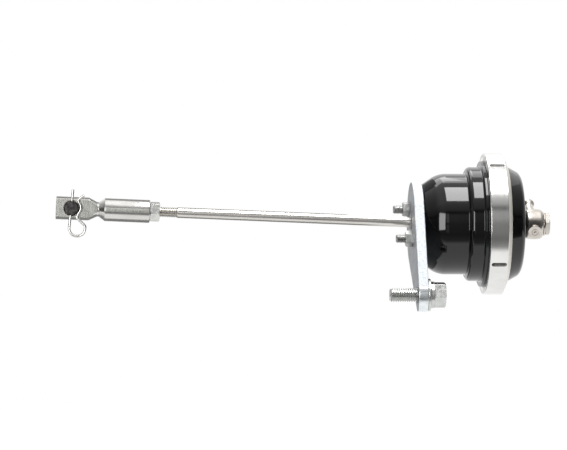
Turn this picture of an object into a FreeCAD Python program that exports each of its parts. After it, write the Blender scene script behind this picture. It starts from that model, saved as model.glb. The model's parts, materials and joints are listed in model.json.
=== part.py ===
import FreeCAD, Part
import math
import os
from FreeCAD import Vector

# Pull-rod actuator of a turbocharger's wastegate, in millimetres.
# The canister's axis lies along X, the pull rod points to -X and Z is up.
# The origin is on the mounting bolt's axis, at the bracket face that seats on the engine side.
# Lengths called ..._X are measured along the canister's axis from its flat foot.

# Where the canister stands on its bracket
CANISTER_Y = 39.0
CANISTER_Z = 39.3
PLATE_THICKNESS = 5.5

# Canister body: the wall's radius sets every other radius of the canister
BODY_RADIUS = 28.5
BODY_WALL = 2.8
BASE_WALL = 5.5
BASE_CORNER = 4.0
FOOT_INSET = 6.5
FOOT_SLOPE_LENGTH = 9.3
FOOT_BLEND = 13.0
SHOULDER_X = 25.2
SHOULDER_STEP = 3.8
SHOULDER_LENGTH = 8.2
SHOULDER_WALL = 3.0
SHOULDER_ROUND = 2.6
STEP_FILLET = 0.8
FLANGE_STEP = 3.3
FLANGE_LENGTH = 7.6
FLANGE_EDGE = 0.4
WIDE_BORE_DELAY = 3.4
WIDE_BORE_TAPER = 3.0
SPRING_RIB_HEIGHT = 1.6

# Locking collar
COLLAR_SETBACK = 2.0
COLLAR_WALL = 4.3
COLLAR_FRONT_CHAMFER = 0.4
COLLAR_BACK_CONE = 2.7
COLLAR_FRONT_DROP = 0.6
COLLAR_EDGE = 0.3
LIP_OVERLAP = 2.4
LIP_THICKNESS = 2.3
LIP_EDGE = 0.8
SLOT_LENGTH = 8.6
SLOT_WIDTH = 2.6
SLOT_DEPTH = 2.6
SLOT_BACK_MARGIN = 0.4
SLOT_COUNT = 4
SLOT_FIRST_ANGLE = 55.5
THREAD_GAP = 0.1

# End cap
CAP_GAP = 0.3
CAP_FLANGE_THICKNESS = 3.5
CAP_NECK_LENGTH = 2.3
CAP_HEIGHT = 10.6
CAP_TAPER = 4.5
CAP_CORNER = 5.0
CAP_WALL = 2.6
CAP_RIM_WALL = 1.6
CAP_FACE_WALL = 3.0
CAP_BORE_DEPTH = 5.1
CAP_BORE_CORNER = 3.0
CAP_BOSS_RADIUS = 9.0
CAP_BOSS_HEIGHT = 0.6

# Diaphragm
DIAPHRAGM_THICKNESS = 0.8
RIM_THICKNESS = 1.5
RIM_MARGIN = 1.0
RIM_INNER_ROUND = 1.2
BEAD_MARGIN = 0.6
BEAD_WIDTH = 1.8
BEAD_HEIGHT = 0.9
BEAD_ROUND = 0.4
FOLD_WIDTH = 5.9
FOLD_DROP = 4.6
FOLD_FULLNESS = 0.98
RUBBER_GAP = 0.2

# Piston and the ball joint in its hub
STROKE = 11.0
STOP_GAP = 0.3
CROWN_RISE = 5.0
CROWN_THICKNESS = 2.2
CROWN_ROUND = 1.5
SKIRT_WALL = 1.6
SKIRT_LENGTH = 14.0
BALL_RADIUS = 5.0
BALL_GAP = 0.08
BALL_LIP = 1.0
BALL_ABOVE_HUB_END = 4.7
HUB_WALL = 1.9
HUB_ROUND = 1.0
PLUG_WALL = 1.5
PLUG_SEAT_ABOVE_BALL = 3.8
PLUG_TIP_ABOVE_BALL = 1.0
PLUG_HEAD_STEP = 2.0
PLUG_HEAD_THICKNESS = 2.1
PLUG_SOCKET_FLATS = 8.0
PLUG_SOCKET_DEPTH = 4.0
PLUG_GROOVE_WIDTH = 2.0
PLUG_GROOVE_DEPTH = 0.8
RETAINER_MARGIN = 2.4
RETAINER_THICKNESS = 1.8
RETAINER_EDGE = 0.6

# Springs, one inside the other
OUTER_SPRING_WIRE = 3.0
OUTER_SPRING_TURNS = 5.0
INNER_SPRING_WIRE = 2.2
INNER_SPRING_TURNS = 6.0
SPRING_SKIRT_GAP = 1.2
SPRING_HUB_GAP = 1.0
SPRING_SIDE_GAP = 0.5
SPRING_GRIND = 0.1

# Pull rod, jam nut and rod end, in line with the rod
ROD_TILT = 2.33
ROD_RADIUS = 3.0
ROD_SWING_ROOM = 2.5
ROD_THREAD_DEPTH = 0.4
ROD_THREAD_SHOWN = 14.9
ROD_ENGAGEMENT = 15.0
ROD_TIP_CHAMFER = 0.6
ROD_END_X = -153.1
JAM_NUT_FLATS = 10.0
JAM_NUT_THICKNESS = 5.5
JAM_NUT_TURN = 9.0
BAR_RADIUS = 6.5
BAR_LENGTH = 25.4
BAR_EDGE = 0.6
BAR_TAPER_LENGTH = 3.4
NECK_DEPTH = 2.4
NECK_LENGTH = 0.9
NECK_FILLET = 0.3
TONGUE_CROWN_LENGTH = 4.6
TONGUE_LENGTH = 23.2
TONGUE_THICKNESS = 8.4
TONGUE_EDGE = 0.3
TAP_RUNOUT = 6.0
DRILL_POINT_LENGTH = 1.5

# Lever pin and its spring clip, whose outer leg hugs the pin
PIN_RADIUS = 4.0
PIN_GAP = 0.05
PIN_FROM_TONGUE_END = 8.6
PIN_BEYOND_CLIP = 1.7
PIN_EDGE = 0.4
PIN_COLLAR_STEP = 1.5
PIN_COLLAR_THICKNESS = 2.0
PIN_SIDE_GAP = 0.3
SPIGOT_RADIUS = 3.0
SPIGOT_LENGTH = 6.0
CLIP_WIRE_RADIUS = 0.75
CLIP_HOLE_GAP = 0.15
CLIP_FACE_GAP = 0.6
CLIP_LEAN = 3.5
CLIP_LEG_PROUD = 6.6
CLIP_LOOP_DROP = 11.2
CLIP_LOOP_WIDTH = 8.9
CLIP_LOOP_ROUND = 4.2
CLIP_SHOULDER_DROP = 5.0
CLIP_SHOULDER_ROUND = 2.2
CLIP_WAIST = 0.8
CLIP_WAIST_ROUND = 2.0
CLIP_BULGE = 2.2
CLIP_BULGE_RISE = 1.6
CLIP_BULGE_ROUND = 3.4
CLIP_PINCH = 1.3
CLIP_PINCH_RISE = 0.6
CLIP_PINCH_ROUND = 1.6
CLIP_TIP = 2.6
CLIP_TIP_RISE = 4.0

# Bracket, its studs and nuts
PLATE_MARGIN = 1.7
PLATE_HOLE_STEP = 2.0
LUG_MARGIN = 0.3
LUG_HOLE_GAP = 0.5
STUD_RADIUS = 2.5
STUD_HOLE_GAP = 0.25
STUD_SPREAD_Y = 8.8
STUD_SPREAD_Z = 8.2
STUD_TAIL = 5.3
STUD_FLOOR = 0.9
STUD_DRILL_EXTRA = 0.3
STUD_TIP = 0.5
STUD_NUT_FLATS = 8.0
STUD_NUT_THICKNESS = 3.9
STUD_NUT_TURNS = (10.0, 27.0)

# Mounting bolt and its washers
BOLT_RADIUS = 4.0
BOLT_THREAD_RELIEF = 0.06
BOLT_SHANK_RELIEF = 0.4
BOLT_REACH = 15.6
BOLT_TIP = 0.8
BOLT_HEAD_FLATS = 13.0
BOLT_HEAD_THICKNESS = 6.3
BOLT_HEAD_TURN = 14.0
FLAT_WASHER_RADIUS = 9.0
FLAT_WASHER_THICKNESS = 1.6
SPRING_WASHER_RADIUS = 7.4
SPRING_WASHER_THICKNESS = 2.1
SPRING_WASHER_SLIT = 1.4
SPRING_WASHER_SLIT_ANGLE = 30.0
WASHER_HOLE_GAP = 0.3

# Hose union, its bolt and crush washers
UNION_BOLT_RADIUS = 4.0
UNION_GAP = 0.1
UNION_RADIUS = 8.65
UNION_LENGTH = 10.9
UNION_ROUND = 2.6
UNION_GALLERY_DEPTH = 1.6
UNION_GALLERY_LENGTH = 4.4
UNION_ANGLE = 29.0
UNION_INNER_WASHER = 1.5
UNION_OUTER_WASHER = 1.0
UNION_WASHER_WIDTH = 2.6
UNION_HEAD_FLATS = 12.0
UNION_HEAD_THICKNESS = 2.5
UNION_HEAD_TURN = 12.0
UNION_BOLT_END_GAP = 0.6
UNION_BOLT_BORE = 2.0
UNION_CROSS_BORE = 1.4
FRONT_BOSS_RADIUS = 3.85
FRONT_BOSS_PROUD = 0.55
NIPPLE_ROOT_RADIUS = 4.6
NIPPLE_ROOT_PROUD = 1.55
NIPPLE_CONE_LENGTH = 2.8
NIPPLE_TUBE_RADIUS = 2.3
NIPPLE_TUBE_LENGTH = 7.6
NIPPLE_BORE = 1.4
BARB_HEIGHT = 0.9
BARB_RAMP = 2.4
BARB_LAND = 1.0
BARB_NOSE_LENGTH = 1.6
BARB_NOSE_DROP = 0.9

EDGE = 0.3
OVERRUN = 1.0
NUT_CHAMFER_ANGLE = 30.0
NUT_FACE_SHARE = 0.98
TOUCHING = 1e-6

# Canister radii, from the body's wall outwards and then inwards
FOOT_RADIUS = BODY_RADIUS - FOOT_INSET
NARROW_BORE_RADIUS = BODY_RADIUS - BODY_WALL
SHOULDER_RADIUS = BODY_RADIUS + SHOULDER_STEP
FLANGE_RADIUS = SHOULDER_RADIUS + FLANGE_STEP
WIDE_BORE_RADIUS = SHOULDER_RADIUS - SHOULDER_WALL
RIM_RADIUS = FLANGE_RADIUS - RIM_MARGIN
BEAD_OUTER_RADIUS = RIM_RADIUS - BEAD_MARGIN
BEAD_INNER_RADIUS = BEAD_OUTER_RADIUS - BEAD_WIDTH
COLLAR_BORE_RADIUS = FLANGE_RADIUS + THREAD_GAP
COLLAR_RADIUS = COLLAR_BORE_RADIUS + COLLAR_WALL
COLLAR_LIP_RADIUS = FLANGE_RADIUS - LIP_OVERLAP
COLLAR_BACK_EDGE_RADIUS = COLLAR_LIP_RADIUS + LIP_EDGE
CAP_FLANGE_RADIUS = FLANGE_RADIUS - CAP_GAP
CAP_NECK_RADIUS = COLLAR_LIP_RADIUS - CAP_GAP
CAP_RIM_RADIUS = CAP_NECK_RADIUS - CAP_TAPER
CAP_BORE_RADIUS = CAP_NECK_RADIUS - CAP_WALL
CAP_BORE_END_RADIUS = CAP_RIM_RADIUS - CAP_RIM_WALL
SKIRT_RADIUS = WIDE_BORE_RADIUS - FOLD_WIDTH
SKIRT_BORE_RADIUS = SKIRT_RADIUS - SKIRT_WALL
RETAINER_RADIUS = SKIRT_RADIUS - RETAINER_MARGIN

# Piston, ball joint and springs, from the ball outwards
SOCKET_RADIUS = BALL_RADIUS + BALL_GAP
BALL_OPENING_RADIUS = BALL_RADIUS - BALL_LIP
PLUG_THREAD_RADIUS = BALL_RADIUS + PLUG_WALL
PLUG_HOLE_RADIUS = PLUG_THREAD_RADIUS + THREAD_GAP
PLUG_HEAD_RADIUS = PLUG_THREAD_RADIUS + PLUG_HEAD_STEP
HUB_RADIUS = PLUG_HOLE_RADIUS + HUB_WALL
INNER_SPRING_RADIUS = HUB_RADIUS + SPRING_HUB_GAP + INNER_SPRING_WIRE / 2
OUTER_SPRING_RADIUS = SKIRT_BORE_RADIUS - SPRING_SKIRT_GAP - OUTER_SPRING_WIRE / 2
RIB_INNER_RADIUS = INNER_SPRING_RADIUS + INNER_SPRING_WIRE / 2 + SPRING_SIDE_GAP
RIB_OUTER_RADIUS = OUTER_SPRING_RADIUS - OUTER_SPRING_WIRE / 2 - SPRING_SIDE_GAP
ROD_HOLE_RADIUS = ROD_RADIUS + ROD_SWING_ROOM
ROD_THREAD_CORE = ROD_RADIUS - ROD_THREAD_DEPTH

# Canister lengths, from the foot to the union's bolt head
WIDE_BORE_START_X = SHOULDER_X + WIDE_BORE_DELAY
FLANGE_X = SHOULDER_X + SHOULDER_LENGTH
FLANGE_FACE_X = FLANGE_X + FLANGE_LENGTH
CAP_START_X = FLANGE_FACE_X + RIM_THICKNESS
LIP_X = CAP_START_X + CAP_FLANGE_THICKNESS
COLLAR_START_X = FLANGE_X + COLLAR_SETBACK
COLLAR_LAND_X = COLLAR_START_X + COLLAR_FRONT_CHAMFER
COLLAR_END_X = LIP_X + LIP_THICKNESS
COLLAR_LAND_END_X = COLLAR_END_X - COLLAR_BACK_CONE
CAP_FACE_X = LIP_X + CAP_HEIGHT
CAP_BOSS_X = CAP_FACE_X + CAP_BOSS_HEIGHT
FOLD_X = FLANGE_FACE_X - FOLD_DROP
CROWN_X = FLANGE_FACE_X + CROWN_RISE
CROWN_UNDER_X = CROWN_X - CROWN_THICKNESS
RETAINER_X = CROWN_X + DIAPHRAGM_THICKNESS
PLUG_HEAD_X = RETAINER_X + RETAINER_THICKNESS
PLUG_TOP_X = PLUG_HEAD_X + PLUG_HEAD_THICKNESS
CAP_INNER_BOSS_X = PLUG_TOP_X + STOP_GAP
HUB_END_X = BASE_WALL + STROKE + STOP_GAP
PIVOT_X = HUB_END_X + BALL_ABOVE_HUB_END
PLUG_STEP_X = PIVOT_X + BALL_RADIUS + PLUG_SEAT_ABOVE_BALL
UNION_START_X = CAP_BOSS_X + UNION_INNER_WASHER
UNION_MIDDLE_X = UNION_START_X + UNION_LENGTH / 2
UNION_END_X = UNION_START_X + UNION_LENGTH
UNION_HEAD_X = UNION_END_X + UNION_OUTER_WASHER

# Rod lengths, from the rod end to the tongue's tip and the lever pin
ROD_SHOULDER_X = ROD_END_X + ROD_THREAD_SHOWN
ROD_TIP_X = ROD_END_X - ROD_ENGAGEMENT
BORE_END_X = ROD_TIP_X - TAP_RUNOUT
BAR_END_X = ROD_END_X - BAR_LENGTH
NECK_X = BAR_END_X - BAR_TAPER_LENGTH
NECK_RADIUS = BAR_RADIUS - NECK_DEPTH
TONGUE_X = NECK_X - NECK_LENGTH
TONGUE_END_X = TONGUE_X - TONGUE_LENGTH
PIN_X = TONGUE_END_X + PIN_FROM_TONGUE_END
PIN_COLLAR_RADIUS = PIN_RADIUS + PIN_COLLAR_STEP
CLIP_Y = -TONGUE_THICKNESS / 2 - CLIP_FACE_GAP - CLIP_WIRE_RADIUS
PIN_FRONT_Y = CLIP_Y - CLIP_WIRE_RADIUS - PIN_BEYOND_CLIP

# Bracket, studs, bolt and union
PLATE_DISC_RADIUS = FOOT_RADIUS + PLATE_MARGIN
PLATE_ROD_HOLE_RADIUS = ROD_HOLE_RADIUS + PLATE_HOLE_STEP
LUG_RADIUS = FLAT_WASHER_RADIUS + LUG_MARGIN
LUG_HOLE_RADIUS = BOLT_RADIUS + LUG_HOLE_GAP
STUD_REACH = PLATE_THICKNESS + STUD_NUT_THICKNESS + STUD_TAIL
STUD_DEPTH = BASE_WALL - STUD_FLOOR
BOLT_THREAD_RADIUS = BOLT_RADIUS - BOLT_THREAD_RELIEF
BOLT_SHANK_RADIUS = BOLT_RADIUS - BOLT_SHANK_RELIEF
UNION_GALLERY_RADIUS = UNION_BOLT_RADIUS + UNION_GALLERY_DEPTH
UNION_WASHER_RADIUS = UNION_BOLT_RADIUS + UNION_WASHER_WIDTH
BARB_RADIUS = NIPPLE_TUBE_RADIUS + BARB_HEIGHT
BARB_NOSE_RADIUS = BARB_RADIUS - BARB_NOSE_DROP
FRONT_BOSS_REACH = UNION_RADIUS + FRONT_BOSS_PROUD
NIPPLE_ROOT_REACH = UNION_RADIUS + NIPPLE_ROOT_PROUD
NIPPLE_TUBE_START = NIPPLE_ROOT_REACH + NIPPLE_CONE_LENGTH
NIPPLE_TUBE_END = NIPPLE_TUBE_START + NIPPLE_TUBE_LENGTH
BARB_LAND_START = NIPPLE_TUBE_END + BARB_RAMP
BARB_LAND_END = BARB_LAND_START + BARB_LAND
NIPPLE_END = BARB_LAND_END + BARB_NOSE_LENGTH

X_AXIS = Vector(1, 0, 0)
Y_AXIS = Vector(0, 1, 0)
ORIGIN = Vector(0, 0, 0)


def corner_arc(before, corner, after, radius):
    """Points where a tangent arc leaves one side, passes its middle and joins the next side."""
    back = (before - corner).normalize()
    ahead = (after - corner).normalize()
    half = back.getAngle(ahead) / 2
    reach = radius / math.tan(half)
    middle = (back + ahead).normalize() * (radius / math.sin(half) - radius)
    return corner + back * reach, corner + middle, corner + ahead * reach


def rounded_edges(corners, place, closed):
    """Straight runs and tangent arcs through corners (a, b) or (a, b, radius of rounding)."""
    points = [place(corner[0], corner[1]) for corner in corners]
    edges = []
    count = len(points)
    last = None
    start = None
    for index, corner in enumerate(corners):
        is_end = not closed and index in (0, count - 1)
        if len(corner) == 3 and not is_end:
            before = points[index - 1]
            after = points[(index + 1) % count]
            begin, middle, end = corner_arc(before, points[index], after, corner[2])
        else:
            begin = middle = end = points[index]
        if last is not None and last.distanceToPoint(begin) > TOUCHING:
            edges.append(Part.LineSegment(last, begin).toShape())
        if begin is not end:
            edges.append(Part.Arc(begin, middle, end).toShape())
        if start is None:
            start = begin
        last = end
    if closed and last.distanceToPoint(start) > TOUCHING:
        edges.append(Part.LineSegment(last, start).toShape())
    return edges


def turned(corners):
    """Solid turned about the X axis from corners (x, radius) or (x, radius, rounding)."""
    edges = rounded_edges(corners, lambda x, radius: Vector(x, 0, radius), True)
    return Part.Face(Part.Wire(edges)).revolve(ORIGIN, X_AXIS, 360)


def bar(radius, start, end):
    """Round bar along X."""
    return Part.makeCylinder(radius, end - start, Vector(start, 0, 0), X_AXIS)


def hexagon(flats, start, end, turn):
    """Hexagonal bar along X, its first corner turned by some degrees from +Z."""
    corner_radius = flats / math.sqrt(3)
    points = []
    for side in range(7):
        angle = math.radians(turn + 60 * side)
        points.append(Vector(start, corner_radius * math.sin(angle), corner_radius * math.cos(angle)))
    return Part.Face(Part.makePolygon(points)).extrude(Vector(end - start, 0, 0))


def chamfered_hexagon(flats, start, end, turn, both):
    """Hexagon with the turned chamfer of a nut or bolt head, on its -X face or on both."""
    corner_radius = flats / math.sqrt(3)
    flat_radius = flats / 2 * NUT_FACE_SHARE
    rise = (corner_radius - flat_radius) * math.tan(math.radians(NUT_CHAMFER_ANGLE))
    outline = [(start, 0), (start, flat_radius), (start + rise, corner_radius)]
    if both:
        outline += [(end - rise, corner_radius), (end, flat_radius), (end, 0)]
    else:
        outline += [(end, corner_radius), (end, 0)]
    return hexagon(flats, start, end, turn).common(turned(outline))


def on_canister(shape):
    """Carry a piece drawn on the canister's axis to its place on the bracket."""
    placed = shape.copy()
    placed.translate(Vector(PLATE_THICKNESS, CANISTER_Y, CANISTER_Z))
    return placed


def on_rod(shape):
    """Tip a piece drawn in line with the canister about the rod's ball, then place it."""
    tipped = shape.copy()
    tipped.rotate(Vector(PIVOT_X, 0, 0), Y_AXIS, ROD_TILT)
    return on_canister(tipped)


def stud_places():
    """Centres of the two studs about the canister's axis, as (y, z)."""
    return [(STUD_SPREAD_Y, STUD_SPREAD_Z), (-STUD_SPREAD_Y, -STUD_SPREAD_Z)]


def spring_ribs(seat_x, direction):
    """Corners of the ring between the two springs, standing from a seat along X."""
    top_x = seat_x + direction * SPRING_RIB_HEIGHT
    return [
        (seat_x, RIB_OUTER_RADIUS),
        (top_x, RIB_OUTER_RADIUS, EDGE),
        (top_x, RIB_INNER_RADIUS, EDGE),
        (seat_x, RIB_INNER_RADIUS),
    ]


def make_canister_body():
    """Turned cup: domed foot, straight wall, shoulder and threaded flange."""
    groove = RUBBER_GAP / 2
    outline = [
        (0, ROD_HOLE_RADIUS),
        (0, FOOT_RADIUS),
        (FOOT_SLOPE_LENGTH, BODY_RADIUS, FOOT_BLEND),
        (SHOULDER_X, BODY_RADIUS, STEP_FILLET),
        (SHOULDER_X, SHOULDER_RADIUS, SHOULDER_ROUND),
        (FLANGE_X, SHOULDER_RADIUS, STEP_FILLET),
        (FLANGE_X, FLANGE_RADIUS, FLANGE_EDGE),
        (FLANGE_FACE_X, FLANGE_RADIUS),
        (FLANGE_FACE_X, BEAD_OUTER_RADIUS + groove),
        (FLANGE_FACE_X - BEAD_HEIGHT - groove, BEAD_OUTER_RADIUS + groove, BEAD_ROUND),
        (FLANGE_FACE_X - BEAD_HEIGHT - groove, BEAD_INNER_RADIUS - groove, BEAD_ROUND),
        (FLANGE_FACE_X, BEAD_INNER_RADIUS - groove),
        (FLANGE_FACE_X, WIDE_BORE_RADIUS),
        (WIDE_BORE_START_X, WIDE_BORE_RADIUS),
        (WIDE_BORE_START_X - WIDE_BORE_TAPER, NARROW_BORE_RADIUS),
        (BASE_WALL, NARROW_BORE_RADIUS, BASE_CORNER),
    ]
    outline += spring_ribs(BASE_WALL, 1)
    outline.append((BASE_WALL, ROD_HOLE_RADIUS))
    body = turned(outline)
    hole_radius = STUD_RADIUS + THREAD_GAP / 2
    for y, z in stud_places():
        hole = bar(hole_radius, -OVERRUN, STUD_DEPTH + STUD_DRILL_EXTRA)
        body = body.cut(hole.translated(Vector(0, y, z)))
    return on_canister(body)


def slot_cutter():
    """Round-ended cutter for one spanner slot, at the top of the collar."""
    half_width = SLOT_WIDTH / 2
    back_x = COLLAR_LAND_END_X - SLOT_BACK_MARGIN - half_width
    front_x = back_x - SLOT_LENGTH + SLOT_WIDTH
    floor_z = COLLAR_RADIUS - SLOT_DEPTH
    height = SLOT_DEPTH + OVERRUN
    block = Part.makeBox(back_x - front_x, SLOT_WIDTH, height, Vector(front_x, -half_width, floor_z))
    for end_x in (front_x, back_x):
        block = block.fuse(Part.makeCylinder(half_width, height, Vector(end_x, 0, floor_z)))
    return block


def make_locking_collar():
    """Ring screwed on the body's flange, whose inward lip holds the cap down."""
    collar = turned([
        (COLLAR_START_X, COLLAR_BORE_RADIUS),
        (COLLAR_START_X, COLLAR_RADIUS - COLLAR_FRONT_DROP),
        (COLLAR_LAND_X, COLLAR_RADIUS),
        (COLLAR_LAND_END_X, COLLAR_RADIUS, COLLAR_EDGE),
        (COLLAR_END_X, COLLAR_BACK_EDGE_RADIUS),
        (COLLAR_END_X, COLLAR_LIP_RADIUS),
        (LIP_X, COLLAR_LIP_RADIUS),
        (LIP_X, COLLAR_BORE_RADIUS),
    ])
    for number in range(SLOT_COUNT):
        cutter = slot_cutter()
        # the first slot's angle is measured up from the -Y side
        cutter.rotate(ORIGIN, X_AXIS, 90 - SLOT_FIRST_ANGLE + 360 / SLOT_COUNT * number)
        collar = collar.cut(cutter)
    return on_canister(collar)


def make_end_cap():
    """Domed cap with a clamped rim and a tapped boss for the hose union."""
    inner_face_x = CAP_FACE_X - CAP_FACE_WALL
    thread_radius = UNION_BOLT_RADIUS + THREAD_GAP / 2
    return on_canister(turned([
        (CAP_START_X, CAP_BORE_RADIUS),
        (CAP_START_X, CAP_FLANGE_RADIUS),
        (LIP_X, CAP_FLANGE_RADIUS),
        (LIP_X, CAP_NECK_RADIUS),
        (LIP_X + CAP_NECK_LENGTH, CAP_NECK_RADIUS, EDGE),
        (CAP_FACE_X, CAP_RIM_RADIUS, CAP_CORNER),
        (CAP_FACE_X, CAP_BOSS_RADIUS, EDGE),
        (CAP_BOSS_X, CAP_BOSS_RADIUS, EDGE),
        (CAP_BOSS_X, thread_radius),
        (CAP_INNER_BOSS_X, thread_radius),
        (CAP_INNER_BOSS_X, CAP_BOSS_RADIUS, EDGE),
        (inner_face_x, CAP_BOSS_RADIUS),
        (inner_face_x, CAP_BORE_END_RADIUS, CAP_BORE_CORNER),
        (CAP_START_X + CAP_BORE_DEPTH, CAP_BORE_RADIUS, CAP_BORE_CORNER),
    ]))


def make_diaphragm():
    """Rolling rubber diaphragm: beaded rim, one fold beside the skirt, flat crown."""
    wall_outer = WIDE_BORE_RADIUS - RUBBER_GAP
    wall_inner = wall_outer - DIAPHRAGM_THICKNESS
    sock_inner = SKIRT_RADIUS + RUBBER_GAP
    sock_outer = sock_inner + DIAPHRAGM_THICKNESS
    outer_fold = (wall_outer - sock_inner) / 2 * FOLD_FULLNESS
    inner_fold = (wall_inner - sock_outer) / 2 * FOLD_FULLNESS
    fold_top_x = FOLD_X + DIAPHRAGM_THICKNESS
    return on_canister(turned([
        (FLANGE_FACE_X, RIM_RADIUS),
        (FLANGE_FACE_X, BEAD_OUTER_RADIUS),
        (FLANGE_FACE_X - BEAD_HEIGHT, BEAD_OUTER_RADIUS, BEAD_ROUND),
        (FLANGE_FACE_X - BEAD_HEIGHT, BEAD_INNER_RADIUS, BEAD_ROUND),
        (FLANGE_FACE_X, BEAD_INNER_RADIUS),
        (FLANGE_FACE_X, wall_outer),
        (FOLD_X, wall_outer, outer_fold),
        (FOLD_X, sock_inner, outer_fold),
        (CROWN_X, sock_inner, CROWN_ROUND),
        (CROWN_X, PLUG_HOLE_RADIUS),
        (RETAINER_X, PLUG_HOLE_RADIUS),
        (RETAINER_X, sock_outer, CROWN_ROUND + DIAPHRAGM_THICKNESS),
        (fold_top_x, sock_outer, inner_fold),
        (fold_top_x, wall_inner, inner_fold),
        (CAP_START_X, wall_inner, RIM_INNER_ROUND),
        (CAP_START_X, RIM_RADIUS),
    ]))


def make_piston():
    """Cup that the springs push on, with a long hub that holds the rod's ball."""
    skirt_end_x = CROWN_X - SKIRT_LENGTH
    outline = [
        (skirt_end_x, SKIRT_BORE_RADIUS),
        (skirt_end_x, SKIRT_RADIUS),
        (CROWN_X, SKIRT_RADIUS, CROWN_ROUND),
        (CROWN_X, PLUG_HOLE_RADIUS),
        (PLUG_STEP_X, PLUG_HOLE_RADIUS),
        (PLUG_STEP_X, SOCKET_RADIUS),
        (PIVOT_X, SOCKET_RADIUS),
        (PIVOT_X, BALL_OPENING_RADIUS),
        (HUB_END_X, BALL_OPENING_RADIUS),
        (HUB_END_X, HUB_RADIUS, HUB_ROUND),
        (CROWN_UNDER_X, HUB_RADIUS, HUB_ROUND),
    ]
    outline += reversed(spring_ribs(CROWN_UNDER_X, -1))
    outline.append((CROWN_UNDER_X, SKIRT_BORE_RADIUS, HUB_ROUND))
    socket = Part.makeSphere(SOCKET_RADIUS, Vector(PIVOT_X, 0, 0), X_AXIS)
    return on_canister(turned(outline).cut(socket))


def make_diaphragm_retainer():
    """Round-edged plate that clamps the diaphragm on the piston's crown."""
    return on_canister(turned([
        (RETAINER_X, PLUG_HOLE_RADIUS),
        (RETAINER_X, RETAINER_RADIUS, RETAINER_EDGE),
        (PLUG_HEAD_X, RETAINER_RADIUS, RETAINER_EDGE),
        (PLUG_HEAD_X, PLUG_HOLE_RADIUS),
    ]))


def make_ball_plug():
    """Flanged screw: its head clamps the retainer and its cupped tip closes the ball's socket."""
    seat_x = PLUG_STEP_X + STOP_GAP
    tip_x = PIVOT_X + PLUG_TIP_ABOVE_BALL
    plug = turned([
        (tip_x, 0),
        (tip_x, BALL_RADIUS),
        (seat_x, BALL_RADIUS),
        (seat_x, PLUG_THREAD_RADIUS, EDGE),
        (PLUG_HEAD_X, PLUG_THREAD_RADIUS),
        (PLUG_HEAD_X, PLUG_HEAD_RADIUS, EDGE),
        (PLUG_TOP_X, PLUG_HEAD_RADIUS, EDGE),
        (PLUG_TOP_X, 0),
    ])
    plug = plug.cut(Part.makeSphere(SOCKET_RADIUS, Vector(PIVOT_X, 0, 0), X_AXIS))
    socket_x = PLUG_TOP_X - PLUG_SOCKET_DEPTH
    plug = plug.cut(hexagon(PLUG_SOCKET_FLATS, socket_x, PLUG_TOP_X + OVERRUN, 0))
    groove_x = PLUG_TOP_X - PLUG_GROOVE_DEPTH
    corner = Vector(groove_x, -PLUG_HEAD_RADIUS - OVERRUN, -PLUG_GROOVE_WIDTH / 2)
    width = 2 * (PLUG_HEAD_RADIUS + OVERRUN)
    groove = Part.makeBox(PLUG_GROOVE_DEPTH + OVERRUN, width, PLUG_GROOVE_WIDTH, corner)
    return on_canister(plug.cut(groove))


def make_spring(radius, wire, turns):
    """Compression spring from the foot to the piston's crown, its ends ground flat."""
    length = CROWN_UNDER_X - BASE_WALL
    ground_off = wire * SPRING_GRIND
    pitch = (length + 2 * ground_off) / turns
    helix = Part.makeHelix(pitch, pitch * turns, radius)
    section = Part.Wire(Part.makeCircle(wire / 2, Vector(radius, 0, 0), Y_AXIS))
    coil = Part.Wire(helix).makePipeShell([section], True, True)
    coil.rotate(ORIGIN, Y_AXIS, 90)
    coil.translate(Vector(BASE_WALL - ground_off, 0, 0))
    return on_canister(coil.common(bar(radius + wire, BASE_WALL, CROWN_UNDER_X)))


def make_rod():
    """Ball-headed stainless rod whose far end is threaded for the rod end."""
    shank = turned([
        (PIVOT_X, 0),
        (PIVOT_X, ROD_RADIUS),
        (ROD_SHOULDER_X + ROD_THREAD_DEPTH, ROD_RADIUS),
        (ROD_SHOULDER_X, ROD_THREAD_CORE),
        (ROD_TIP_X + ROD_TIP_CHAMFER, ROD_THREAD_CORE),
        (ROD_TIP_X, ROD_THREAD_CORE - ROD_TIP_CHAMFER),
        (ROD_TIP_X, 0),
    ])
    ball = Part.makeSphere(BALL_RADIUS, Vector(PIVOT_X, 0, 0), X_AXIS)
    return on_rod(shank.fuse(ball))


def make_jam_nut():
    """Thin hexagon nut that locks the rod end on its thread."""
    end_x = ROD_END_X + JAM_NUT_THICKNESS
    nut = chamfered_hexagon(JAM_NUT_FLATS, ROD_END_X, end_x, JAM_NUT_TURN, True)
    hole = bar(ROD_THREAD_CORE + THREAD_GAP, ROD_END_X - OVERRUN, end_x + OVERRUN)
    return on_rod(nut.cut(hole))


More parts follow.
